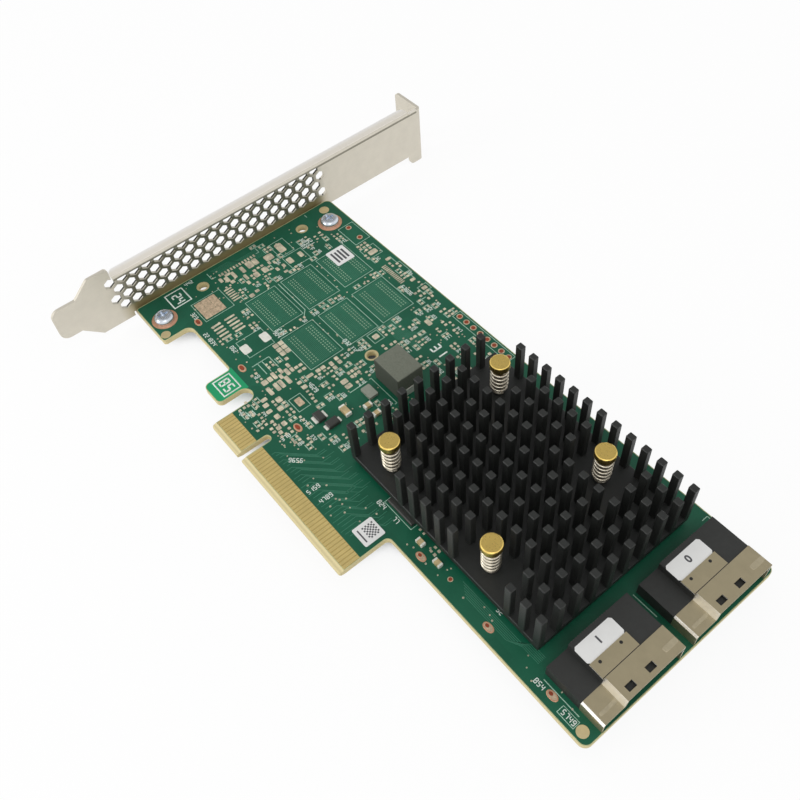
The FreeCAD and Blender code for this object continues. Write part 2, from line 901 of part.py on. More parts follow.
def make_diodes():
    """Two packages side by side, the second one upright."""
    x = back_x + diode_from_back
    second_x = x + diode_length / 2 + diode_gap + second_diode_length / 2
    second_y = diode_height + diode_rise
    return [
        moulded_package(x, diode_height, diode_length, diode_width, diode_thickness, diode_chamfer),
        moulded_package(
            second_x, second_y, second_diode_length, second_diode_width, diode_thickness, diode_chamfer
        ),
    ]


def make_memory_chip():
    """Flat package that reaches under the heat sink's lower edge."""
    x = back_x + chip_from_back
    y = chip_low + chip_width / 2
    return moulded_package(x, y, chip_length, chip_width, chip_thickness, chip_chamfer)


def make_capacitors():
    """Chip capacitors beside the regulator and along the lower edge."""
    top = board_top + capacitor_thickness
    large_x = back_x + large_capacitor_from_back
    parts = [centred_block(
        large_x, large_capacitor_height, large_capacitor_length, large_capacitor_width, board_top, top
    )]
    for from_back, y, turn in capacitor_places:
        x = back_x + from_back
        part = centred_block(x, y, capacitor_length, capacitor_width, board_top, top)
        part.rotate(Vector(x, y, 0), UP, turn)
        parts.append(part)
    return parts


def make_underside_capacitors():
    """Grid of chip capacitors on the board's back, behind the controller."""
    parts = []
    low = board_bottom - underside_thickness
    for column in range(underside_columns):
        for row in range(underside_rows):
            x = controller_x + (column - (underside_columns - 1) / 2) * underside_pitch
            y = controller_height + (row - (underside_rows - 1) / 2) * underside_pitch
            parts.append(centred_block(
                x, y, underside_capacitor_length, underside_capacitor_width, low, board_bottom
            ))
    return parts


# The whole card
os.makedirs("parts", exist_ok=True)
save("circuit_board", make_board())
save("edge_contacts_top", make_contacts(board_top))
save("edge_contacts_bottom", make_contacts(board_bottom - contact_thickness))
save("bracket", make_bracket())
save("bracket_screws", [make_screw(y) for y in screw_heights])

package_top = board_top + package_thickness
lid_top = package_top + lid_thickness
save("controller_package", centred_block(
    controller_x, controller_height, package_side, package_side, board_top, package_top))
save("controller_lid", centred_block(
    controller_x, controller_height, lid_side, lid_side, package_top, lid_top, lid_corner))
save("thermal_pad", centred_block(
    controller_x, controller_height, lid_side, lid_side, lid_top, sink_bottom_z, lid_corner))
save("heat_sink", make_heat_sink())
save("push_pins", [make_push_pin(x, y) for x, y in push_pin_places])
save("push_pin_springs", [make_spring(x, y) for x, y in push_pin_places])

for i in range(port_count):
    low_edge = port_low_edge + i * port_pitch
    name = "port_" + str(port_count - 1 - i)
    save(name + "_housing", make_port_housing(low_edge))
    save(name + "_shell", make_port_shell(low_edge))
    save(name + "_contacts", make_port_contacts(low_edge))
    save(name + "_label", make_port_label(low_edge))

save("power_inductor", make_inductor())
save("inductor_terminals", [make_inductor_terminal(side) for side in (-1, 1)])
save("voltage_regulator", make_regulator())
save("diodes", make_diodes())
save("memory_chip", make_memory_chip())
save("ceramic_capacitors", make_capacitors())
save("underside_capacitors", make_underside_capacitors())
save("edge_label", make_board_sticker(
    edge_label_from_back, edge_label_length, edge_label_low, edge_label_height))
board_sticker_low = board_height - board_sticker_below_top - board_sticker_height
save("board_sticker", make_board_sticker(
    board_sticker_from_back, board_sticker_length, board_sticker_low, board_sticker_height))
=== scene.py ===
"""Looks of the plug-in storage adapter card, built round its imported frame.

Lengths are written in millimetres in the card's own frame and turned to metres where a mesh is made.
"""

import logging
import math
import random
from dataclasses import dataclass, field, replace
from enum import Enum
from typing import Sequence

import bmesh
import bpy
from mathutils import Matrix, Vector


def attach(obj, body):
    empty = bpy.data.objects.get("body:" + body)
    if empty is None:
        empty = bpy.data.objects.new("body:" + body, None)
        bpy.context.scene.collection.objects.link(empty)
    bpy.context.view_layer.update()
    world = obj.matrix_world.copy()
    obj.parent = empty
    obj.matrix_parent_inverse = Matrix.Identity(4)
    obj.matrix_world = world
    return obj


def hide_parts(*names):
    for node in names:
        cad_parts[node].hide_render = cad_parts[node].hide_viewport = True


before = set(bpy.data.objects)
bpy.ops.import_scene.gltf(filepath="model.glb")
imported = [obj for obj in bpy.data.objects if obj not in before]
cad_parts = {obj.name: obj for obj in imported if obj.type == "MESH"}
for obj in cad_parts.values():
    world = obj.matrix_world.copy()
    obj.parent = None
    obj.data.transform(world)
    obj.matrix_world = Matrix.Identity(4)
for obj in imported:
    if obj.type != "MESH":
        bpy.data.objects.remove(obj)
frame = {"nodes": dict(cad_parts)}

log = logging.getLogger("adapter_card")
MM = 0.001
BODY = "root"

# Levels and places that more than one class uses, in millimetres
BOARD_TOP = 0.785
BOARD_BOTTOM = -BOARD_TOP
SCREW_PLACES = ((-49.95, 8.9), (-49.95, 63.45))

Colour = tuple[float, float, float]
Triple = tuple[float, float, float]
Point = tuple[float, float]
# Edges of a rectangle: x0, x1, y0, y1
Box = tuple[float, float, float, float]
# Middle, length and width of a pad
Pad = tuple[float, float, float, float]
# Edges of a rectangle and how many things are tried in it
Cluster = tuple[float, float, float, float, int]
# Edges along X and a count, edges along Y and a count, and the share of a cell that a pad covers each way
Grid = tuple[float, float, int, float, float, int, float, float]


def tone(red: int, green: int, blue: int) -> Colour:
    """Turn a colour seen on a screen into the linear colour that a shader takes.

    Args:
        red, green, blue: the colour's parts from 0 to 255.

    Returns:
        The linear colour.
    """
    parts = [value / 255 for value in (red, green, blue)]
    return tuple(part / 12.92 if part <= 0.04045 else ((part + 0.055) / 1.055) ** 2.4 for part in parts)


class Wiring:
    """Short way to add nodes to a tree and join them."""

    usual_noise: Point = (0.3, 0.7)
    relief_depth: float = 0.02

    def __init__(self, tree: bpy.types.NodeTree) -> None:
        """Keep the tree that the nodes go into."""
        self.tree = tree

    def add(self, kind: str, inputs: dict | None = None, **settings: object) -> bpy.types.Node:
        """Add one node.

        Args:
            kind: the node's type name.
            inputs: a value or an output socket for each input, by name or number.
            settings: the node's own properties.

        Returns:
            The new node.
        """
        node = self.tree.nodes.new(kind)
        for key, value in settings.items():
            setattr(node, key, value)
        for key, value in (inputs or {}).items():
            if isinstance(value, bpy.types.NodeSocket):
                self.tree.links.new(value, node.inputs[key])
            else:
                node.inputs[key].default_value = value
        return node

    def math(self, operation: str, first: object, second: object = 0.0) -> bpy.types.NodeSocket:
        """Add a math node on two values or sockets and return its result."""
        node = self.add("ShaderNodeMath", {0: first, 1: second}, operation=operation)
        return node.outputs[0]

    def blend(self, share: object, low: object, high: object) -> bpy.types.NodeSocket:
        """Mix two colours by a share and return the mixed colour."""
        node = self.add("ShaderNodeMix", {0: share, 6: low, 7: high}, data_type="RGBA")
        return node.outputs[2]

    def spread(self, value: object, low: float, high: float) -> bpy.types.NodeSocket:
        """Stretch a noise value onto a range and return the result."""
        least, most = self.usual_noise
        return self.add("ShaderNodeMapRange", {"Value": value, 1: least, 2: most, 3: low, 4: high}).outputs[0]

    def within(self, value: object, low: float, high: float, blur: float = 1e-6) -> bpy.types.NodeSocket:
        """Find where a value lies between two bounds.

        Args:
            value: the value or its socket.
            low, high: the bounds.
            blur: the width of the soft edge inside each bound.

        Returns:
            A socket that is 1 between the bounds and 0 elsewhere.
        """
        above = self.add("ShaderNodeMapRange", {"Value": value, 1: low, 2: low + blur})
        below = self.add("ShaderNodeMapRange", {"Value": value, 1: high - blur, 2: high, 3: 1.0, 4: 0.0})
        return self.math("MULTIPLY", above.outputs[0], below.outputs[0])

    def noise(self, place: object, scale: float, detail: float,
              roughness: float = 0.5) -> bpy.types.NodeSocket:
        """Add a noise texture and return its value."""
        return self.add("ShaderNodeTexNoise", {
            "Vector": place, "Scale": scale, "Detail": detail, "Roughness": roughness}).outputs[0]

    def surface(self, colour: object, gloss: object, height: object, relief: float) -> None:
        """Give the tree's shader its colour, roughness and relief.

        Args:
            colour, gloss: the sockets of its colour and its roughness.
            height: the socket of its relief.
            relief: how strong the relief is.
        """
        bump = self.add("ShaderNodeBump", {
            "Height": height, "Strength": relief, "Distance": self.relief_depth * MM})
        shader = self.tree.nodes["Principled BSDF"]
        for label, socket in (("Base Color", colour), ("Roughness", gloss), ("Normal", bump.outputs[0])):
            self.tree.links.new(socket, shader.inputs[label])


class Grain(Enum):
    """Ways in which a finish's fine relief runs."""

    EVEN = (1.0, 1.0, 1.0)
    ALONG_X = (0.03, 1.0, 1.0)
    ALONG_Y = (1.0, 0.03, 1.0)


class Axis(Enum):
    """Ways along the card, as numbers of a vector's parts."""

    X = 0
    Y = 1
    Z = 2


@dataclass(frozen=True)
class Finish:
    """Surface whose colour wanders a little, with fine relief and uneven gloss."""

    name: str
    colour: Colour
    metallic: float = 0.0
    roughness: float = 0.5
    uneven: float = 0.08
    wander: float = 0.10
    wander_scale: float = 0.35
    grain: Grain = Grain.EVEN
    grain_scale: float = 6.0
    relief: float = 0.15
    rings: bool = False
    ring_scale: float = 9.0
    specular: float = 0.5

    def build(self) -> bpy.types.Material:
        """Make the finish's material.

        Returns:
            The material, on Object coordinates and, for turned pieces, on their radius.
        """
        material = bpy.data.materials.new(self.name)
        material.use_nodes = True
        wiring = Wiring(material.node_tree)
        shader = material.node_tree.nodes["Principled BSDF"]
        shader.inputs["Metallic"].default_value = self.metallic
        shader.inputs["Specular IOR Level"].default_value = self.specular
        place = wiring.add("ShaderNodeTexCoord").outputs["Object"]
        even = wiring.add("ShaderNodeMapping", {"Vector": place, "Scale": (1 / MM, 1 / MM, 1 / MM)})
        stretch = [part / MM for part in self.grain.value]
        along = wiring.add("ShaderNodeMapping", {"Vector": place, "Scale": stretch})
        cloud = wiring.noise(even.outputs[0], self.wander_scale, detail=4.0, roughness=0.6)
        fine = wiring.noise(along.outputs[0], self.grain_scale, detail=3.0, roughness=0.65)
        share = wiring.spread(cloud, 0.0, 1.0)
        dark = tuple(part * (1 - self.wander) for part in self.colour) + (1.0,)
        light = tuple(min(part * (1 + self.wander), 1.0) for part in self.colour) + (1.0,)
        colour = wiring.blend(share, dark, light)
        height = fine
        if self.rings:
            radius = wiring.add("ShaderNodeAttribute", attribute_name="radius").outputs["Fac"]
            turns = wiring.add("ShaderNodeTexNoise", {
                "W": radius, "Scale": self.ring_scale, "Detail": 4.0, "Roughness": 0.7},
                noise_dimensions="1D")
            height = wiring.math("ADD", height, turns.outputs[0])
        gloss = wiring.spread(fine, self.roughness - self.uneven, self.roughness + self.uneven)
        wiring.surface(colour, gloss, height, self.relief)
        return material


@dataclass(frozen=True)
class Zone:
    """Box in which faces that turn a given way wear another colour: painted light and shade."""

    colour: Colour
    axis: Axis = Axis.X
    facing: Point = (-1.1, 1.1)
    low: Triple = (-200.0, -200.0, -200.0)
    high: Triple = (200.0, 200.0, 200.0)
    blur: Triple = (0.01, 0.01, 0.01)


@dataclass(frozen=True)
class ZonedFinish(Finish):
    """Finish with zones of painted light and shade in other colours, each laid over the one before."""

    zones: tuple[Zone, ...] = ()

    def build(self) -> bpy.types.Material:
        """Make the finish's material.

        Returns:
            The plain finish with its zones laid over it.
        """
        material = super().build()
        wiring = Wiring(material.node_tree)
        base = material.node_tree.nodes["Principled BSDF"].inputs["Base Color"]
        given = wiring.add("ShaderNodeTexCoord").outputs
        turned = wiring.add("ShaderNodeSeparateXYZ", {0: given["Normal"]}).outputs
        at = wiring.add("ShaderNodeSeparateXYZ", {0: given["Object"]}).outputs
        colour = base.links[0].from_socket
        for zone in self.zones:
            share = wiring.within(turned[zone.axis.value], *zone.facing)
            for part, low, high, blur in zip(at, zone.low, zone.high, zone.blur):
                inside = wiring.within(part, low * MM, high * MM, blur * MM)
                share = wiring.math("MULTIPLY", share, inside)
            colour = wiring.blend(share, colour, zone.colour + (1.0,))
        material.node_tree.links.new(colour, base)
        return material


@dataclass(frozen=True)
class MaskFinish:
    """Green solder mask on both faces of the board, with bare laminate on its cut edges and tongue."""

    name: str = "solder_mask"
    dark: Colour = tone(2, 72, 50)
    light: Colour = tone(24, 100, 73)
    tab: Colour = tone(24, 150, 98)
    specular: float = 0.34
    laminate: Colour = tone(222, 208, 160)
    tongue: Colour = tone(180, 158, 96)
    tongue_end: float = 5.76
    tongue_from: float = -12.3
    tongue_to: float = 39.3
    tab_from: float = -24.2
    tab_to: float = -15.9
    tab_end: float = 13.2
    zone_blur: float = 0.01
    face_cosine: float = 0.985
    cloud_share: float = 0.55
    pour_share: float = 0.25
    speck_share: float = 0.20
    layer_shade: float = 0.82
    edge_gloss: float = 0.75
    face_gloss: float = 0.36
    relief: float = 0.12

    def build(self) -> bpy.types.Material:
        """Make the board's material.

        Returns:
            The material, with its zones laid out on Object coordinates.
        """
        material = bpy.data.materials.new(self.name)
        material.use_nodes = True
        wiring = Wiring(material.node_tree)
        shader = material.node_tree.nodes["Principled BSDF"]
        shader.inputs["Specular IOR Level"].default_value = self.specular
        place = wiring.add("ShaderNodeTexCoord").outputs["Object"]
        at = wiring.add("ShaderNodeMapping", {"Vector": place, "Scale": (1 / MM, 1 / MM, 1 / MM)}).outputs[0]
        parts = wiring.add("ShaderNodeSeparateXYZ", {0: at}).outputs
        normal = wiring.add("ShaderNodeNewGeometry").outputs["Normal"]
        facing = wiring.add("ShaderNodeSeparateXYZ", {0: normal}).outputs[2]
        on_face = wiring.math("GREATER_THAN", wiring.math("ABSOLUTE", facing), self.face_cosine)
        cloud = wiring.noise(at, scale=0.05, detail=3.0)
        pour = wiring.add("ShaderNodeTexVoronoi", {"Vector": at, "Scale": 0.16}, distance="CHEBYCHEV")
        speck = wiring.noise(at, scale=1.6, detail=5.0)
        share = wiring.math("MULTIPLY", wiring.spread(cloud, 0.0, 1.0), self.cloud_share)
        for layer, weight in ((pour.outputs["Color"], self.pour_share), (speck, self.speck_share)):
            share = wiring.math("ADD", share, wiring.math("MULTIPLY", layer, weight))
        green = wiring.blend(share, self.dark + (1.0,), self.light + (1.0,))
        tab_x = wiring.within(parts[0], self.tab_from, self.tab_to, self.zone_blur)
        on_tab = wiring.math("MULTIPLY", tab_x, wiring.math("LESS_THAN", parts[1], self.tab_end))
        green = wiring.blend(on_tab, green, self.tab + (1.0,))
        tongue_x = wiring.within(parts[0], self.tongue_from, self.tongue_to, self.zone_blur)
        on_tongue = wiring.math("MULTIPLY", tongue_x, wiring.math("LESS_THAN", parts[1], self.tongue_end))
        face = wiring.blend(on_tongue, green, self.tongue + (1.0,))
        layers = wiring.add("ShaderNodeTexWave", {
            "Vector": at, "Scale": 1.1, "Distortion": 0.4, "Detail": 2.0}, bands_direction="Z").outputs[1]
        deep = tuple(part * self.layer_shade for part in self.laminate) + (1.0,)
        edge = wiring.blend(layers, deep, self.laminate + (1.0,))
        colour = wiring.blend(on_face, edge, face)
        gloss = wiring.add("ShaderNodeMapRange", {"Value": on_face, 3: self.edge_gloss, 4: self.face_gloss})
        wiring.surface(colour, gloss.outputs[0], speck, self.relief)
        return material


# Corners of the box round the bracket's vents
VENTS_LOW = (-70.0, -0.3, 1.8)
VENTS_HIGH = (0.0, 68.4, 12.45)
# Painted reflections, shade and highlights on the bracket, by the way each face turns
BRACKET_PAINTED_LIGHT = (
    # Painted reflection of the board, olive-brown, on the inner face beside it
    Zone(tone(158, 146, 106), Axis.X, (0.5, 1.1), (-90, 1, -9), (0, 70, 3.6), (1, 5, 1.4)),
    # Painted dark reflection of the board on the webs between the vents
    Zone(tone(126, 123, 106), Axis.X, (0.5, 1.1), (-90, 1, 2.0), (0, 69, 12.6), (1, 5, 0.8)),
    # Painted highlight on the top of the lip, brightest on its outer part
    Zone(tone(246, 240, 229), Axis.Z, (0.86, 1.1), (-90, 2.4, 13.2), (0, 104, 20)),
    Zone(tone(255, 253, 250), Axis.Z, (0.86, 1.1), (-90, 2.4, 13.2), (-60.9, 104, 20), (1.4, 0.01, 0.01)),
    # Painted shadow line along the lip's bend
    Zone(tone(146, 142, 128), Axis.X, (0.3, 1.1), (-90, 2.2, 12.35), (0, 104, 12.95)),
    # Painted shade on the walls of the vents, a painted highlight on those that face up, and a painted shadow
    # on the outer part of those on one side
    Zone(tone(72, 70, 58), Axis.X, (-0.6, 0.6), VENTS_LOW, VENTS_HIGH),
    Zone(tone(196, 192, 178), Axis.Z, (0.25, 1.1), VENTS_LOW, VENTS_HIGH),
    Zone(tone(52, 50, 42), Axis.Y, (-0.6, -0.4), VENTS_LOW, (-59.44, *VENTS_HIGH[1:])),
)
# Painted light: the screws' cross recesses are lighter than the heads, to lift the shade in them
RECESS_PAINTED_LIGHT = (
    Zone(tone(222, 228, 236), low=(-51.3, 7.5, 0.9), high=(-48.6, 10.3, 2.42)),
    Zone(tone(222, 228, 236), low=(-51.3, 62.1, 0.9), high=(-48.6, 64.8, 2.42)),
)
# Painted shade on the push pins' shanks inside the springs
SHANK_PAINTED_SHADE = (Zone(tone(98, 88, 68), high=(200, 200, 12.5)),)
# Painted highlight on the step wall and bend of each port's shell
STEP_PAINTED_HIGHLIGHT = (Zone(tone(255, 252, 245), Axis.Y, (-1.1, -0.35), (0, 0, 4.03)),)
# Painted shade on the inductor's sides that face -Y
BLOCK_PAINTED_SHADE = (Zone(tone(66, 70, 61), Axis.Y, (-1.1, -0.5)),)


class Paint(Enum):
    """Every finish on the card, by the surface that wears it."""

    MASK = MaskFinish()
    TRACE = Finish("mask_over_copper", tone(50, 117, 91), roughness=0.36, relief=0.05, specular=0.34)
    SILK = Finish("printed_outline", tone(158, 192, 172), roughness=0.6, wander=0.2, wander_scale=1.5)
    PRINT = Finish("printed_number", tone(220, 228, 220), roughness=0.6, wander=0.14, wander_scale=1.5)
    FINGER = Finish("contact_gold", tone(234, 210, 140), 0.8, 0.34, wander=0.08, grain=Grain.ALONG_Y)
    RING_GOLD = Finish("flash_gold", tone(222, 204, 156), 0.7, 0.4)
    PAD = Finish("coated_pad", tone(202, 192, 168), 0.25, 0.45, wander=0.36, wander_scale=0.7)
    TIN = Finish("tin_plate", tone(226, 226, 216), 0.15, 0.4, wander=0.10, wander_scale=0.9)
    COPPER = Finish("bare_copper", tone(212, 160, 128), 0.5, 0.42, wander=0.16, wander_scale=1.0)
    BLOOM = Finish("coated_copper", tone(194, 172, 144), 0.3, 0.48, wander=0.34, wander_scale=1.6)
    # Reddish copper for the test lands' cores, and painted shade inside the empty pin holes
    RUST = Finish("old_copper_and_hole_shade", tone(146, 66, 38), 0.3, 0.6, wander=0.25, wander_scale=1.5)
    # Satin nickel; its zones are painted reflections, shade and highlights on the bracket
    NICKEL = ZonedFinish("satin_nickel_painted_light", tone(216, 210, 196), 0.6, 0.46, wander=0.03, grain=Grain.ALONG_Y,
                         relief=0.10, zones=BRACKET_PAINTED_LIGHT)
    # Bright nickel; its zones paint light into the screws' cross recesses
    SCREW = ZonedFinish("bright_nickel_painted_light", tone(206, 212, 220), 1.0, 0.22, wander=0.06, relief=0.06,
                        zones=RECESS_PAINTED_LIGHT)
    SINK = Finish("black_anodise", tone(31, 33, 31), 0.0, 0.48, wander=0.12, wander_scale=0.9, relief=0.2)
    # Turned brass; its zone is painted shade on the shanks
    BRASS = ZonedFinish("turned_brass_painted_shade", tone(238, 206, 118), 1.0, 0.32, wander=0.04, grain_scale=2.0,
                        relief=0.06, rings=True, zones=SHANK_PAINTED_SHADE)
    SPRING = Finish("nickel_wire", tone(220, 211, 192), 0.9, 0.32, wander=0.06, relief=0.05)
    HOUSING = Finish("moulded_black", tone(40, 41, 39), 0.0, 0.55, wander=0.10, wander_scale=0.8, relief=0.3)
    # Champagne nickel; its zone is a painted highlight on the step
    SHELL = ZonedFinish("champagne_nickel_painted_highlight", tone(182, 170, 140), 0.8, 0.36, wander=0.04, grain=Grain.ALONG_X,
                        zones=STEP_PAINTED_HIGHLIGHT)
    PRESSED = Finish("pressed_nickel", tone(190, 179, 151), 0.75, 0.42, wander=0.08, wander_scale=0.8)
    # Painted shade for the shell's dimples and crease
    SHADE = Finish("painted_recess_shade", tone(30, 28, 26), 0.0, 0.7)
    FILM = Finish("sticker_film", tone(224, 224, 222), 0.0, 0.5, wander=0.02, relief=0.05)
    INK = Finish("grey_ink", tone(78, 78, 82), 0.0, 0.6, wander=0.15, wander_scale=2.0)
    PACKAGE = Finish("package_laminate", tone(30, 62, 44), 0.0, 0.5)
    LID = Finish("nickel_lid", tone(190, 190, 192), 1.0, 0.34)
    GREY_PAD = Finish("soft_pad", tone(150, 152, 156), 0.0, 0.85, relief=0.4)
    # Pressed powder; its zone is painted shade on the -Y sides
    INDUCTOR = ZonedFinish("pressed_powder_painted_shade", tone(103, 107, 94), 0.0, 0.7, wander=0.12, wander_scale=2.5,
                           relief=0.5, zones=BLOCK_PAINTED_SHADE)
    CHIP = Finish("moulded_compound", tone(52, 53, 49), 0.0, 0.5, wander=0.12, wander_scale=1.5, relief=0.3)
    REGULATOR = Finish("grey_compound", tone(142, 147, 134), 0.1, 0.5, wander=0.08, wander_scale=1.5)
    BALL_LAND = Finish("covered_land", tone(146, 176, 148), 0.1, 0.45, wander=0.15, wander_scale=1.0)
    # Painted highlight along the board's lit cut edge
    RIM = Finish("rim_painted_highlight", tone(176, 178, 132), 0.0, 0.6, wander=0.2, wander_scale=0.8)
    CERAMIC = Finish("fired_ceramic", tone(186, 166, 122), 0.0, 0.45, wander=0.28, wander_scale=0.6)

    def material(self) -> bpy.types.Material:
        """Return this finish's material, made at its first use."""
        made = bpy.data.materials.get(self.value.name)
        return made or self.value.build()


class Shapes:
    """Small meshes that the card's pieces repeat, in millimetres."""

    least_corner: float = 0.4
    washer_shoulder: float = 0.6

    @staticmethod
    def finish(shape: bmesh.types.BMesh, name: str) -> bpy.types.Mesh:
        """Close a mesh in metres.

        Args:
            shape: the mesh in millimetres.
            name: the mesh's name.

        Returns:
            The finished mesh.
        """
        bmesh.ops.recalc_face_normals(shape, faces=shape.faces)
        mesh = bpy.data.meshes.new(name)
        shape.to_mesh(mesh)
        shape.free()
        mesh.transform(Matrix.Scale(MM, 4))
        return mesh

    @staticmethod
    def stack(shape: bmesh.types.BMesh, rings: Sequence[Sequence[Vector]]) -> None:
        """Skin rings of points into a closed body.

        Args:
            shape: the mesh that the body is added to.
            rings: the rings from one end to the other, all with as many points.
        """
        loops = [[shape.verts.new(point) for point in ring] for ring in rings]
        count = len(loops[0])
        for low, high in zip(loops, loops[1:]):
            for i in range(count):
                after = (i + 1) % count
                shape.faces.new((low[i], low[after], high[after], high[i]))
        shape.faces.new(reversed(loops[0]))
        shape.faces.new(loops[-1])

    @staticmethod
    def rounded(length: float, width: float, corner: float, steps: int) -> list[Point]:
        """Outline of a rectangle with rounded corners round the origin.

        Args:
            length, width: the rectangle's sides.
            corner: the corners' radius.
            steps: points along each corner, less one.

        Returns:
            The outline's points.
        """
        points = []
        for turn, (side_x, side_y) in enumerate(((1, 1), (-1, 1), (-1, -1), (1, -1))):
            for step in range(steps + 1):
                angle = math.pi / 2 * (turn + step / steps)
                x = side_x * (length / 2 - corner) + corner * math.cos(angle)
                y = side_y * (width / 2 - corner) + corner * math.sin(angle)
                points.append((x, y))
        return points

    @classmethod
    def slab(cls, length: float, width: float, height: float, corner: float, edge: float,
             steps: int) -> bmesh.types.BMesh:
        """Block on the level 0 with rounded corners and an eased top edge.

        Args:
            length, width, height: the block's sides.
            corner: the upright corners' radius.
            edge: how far the top edge is eased.
            steps: points along each corner, less one.

        Returns:
            The block as a mesh under work.
        """
        shape = bmesh.new()
        full = cls.rounded(length, width, corner, steps)
        least = max(corner - edge, corner * cls.least_corner)
        less = cls.rounded(length - 2 * edge, width - 2 * edge, least, steps)
        cls.stack(shape, [
            [Vector((x, y, 0)) for x, y in full],
            [Vector((x, y, height - edge)) for x, y in full],
            [Vector((x, y, height)) for x, y in less],
        ])
        return shape

    @classmethod
    def tile(cls, height: float, corner: float, edge: float, steps: int = 1) -> bmesh.types.BMesh:
        """Slab one millimetre square, which takes its sides from the spots that repeat it."""
        return cls.slab(1.0, 1.0, height, corner, edge, steps)

    @classmethod
    def lathe(cls, profile: Sequence[Point], sides: int) -> bmesh.types.BMesh:
        """Turned body about the Z axis, closed at both ends.

        Args:
            profile: (radius, height) pairs from the lower end to the upper end.
            sides: flats round the body.

        Returns:
            The body as a mesh under work.
        """
        shape = bmesh.new()
        angles = [2 * math.pi * i / sides for i in range(sides)]
        cls.stack(shape, [
            [Vector((radius * math.cos(angle), radius * math.sin(angle), z)) for angle in angles]
            for radius, z in profile
        ])
        return shape

    @classmethod
    def disc(cls, shoulder: float, height: float, crown: float, sides: int,
             radius: float = 1.0) -> bmesh.types.BMesh:
        """Disc on the level 0 with an eased top edge.

        Args:
            shoulder, height: the heights of its side and of its top.
            crown: the radius of its flat top.
            sides: flats round the disc.
            radius: its own radius, which spots can scale.

        Returns:
            The disc as a mesh under work.
        """
        return cls.lathe(((radius, 0.0), (radius, shoulder), (crown, height)), sides)

    @classmethod
    def washer(cls, inner: float, outer: float, height: float, sides: int) -> bmesh.types.BMesh:
        """Flat ring on the level 0.

        Args:
            inner, outer, height: the ring's radii and height.
            sides: flats round the ring.

        Returns:
            The ring as a mesh under work.
        """
        shape = bmesh.new()
        shoulder = height * cls.washer_shoulder
        section = ((inner, 0), (outer, 0), (outer, shoulder), (outer - height, height), (inner, height))
        rings = []
        for i in range(sides):
            angle = 2 * math.pi * i / sides
            points = [(radius * math.cos(angle), radius * math.sin(angle), z) for radius, z in section]
            rings.append([shape.verts.new(point) for point in points])
        for i, ring in enumerate(rings):
            after = rings[(i + 1) % sides]
            for j in range(len(section)):
                k = (j + 1) % len(section)
                shape.faces.new((ring[j], after[j], after[k], ring[k]))
        return shape


@dataclass(frozen=True)
class Spot:
    """Place, size and turn of one repeated shape."""

    x: float
    y: float
    z: float = BOARD_TOP
    length: float = 1.0
    width: float = 1.0
    height: float = 1.0
    turn: float = 0.0


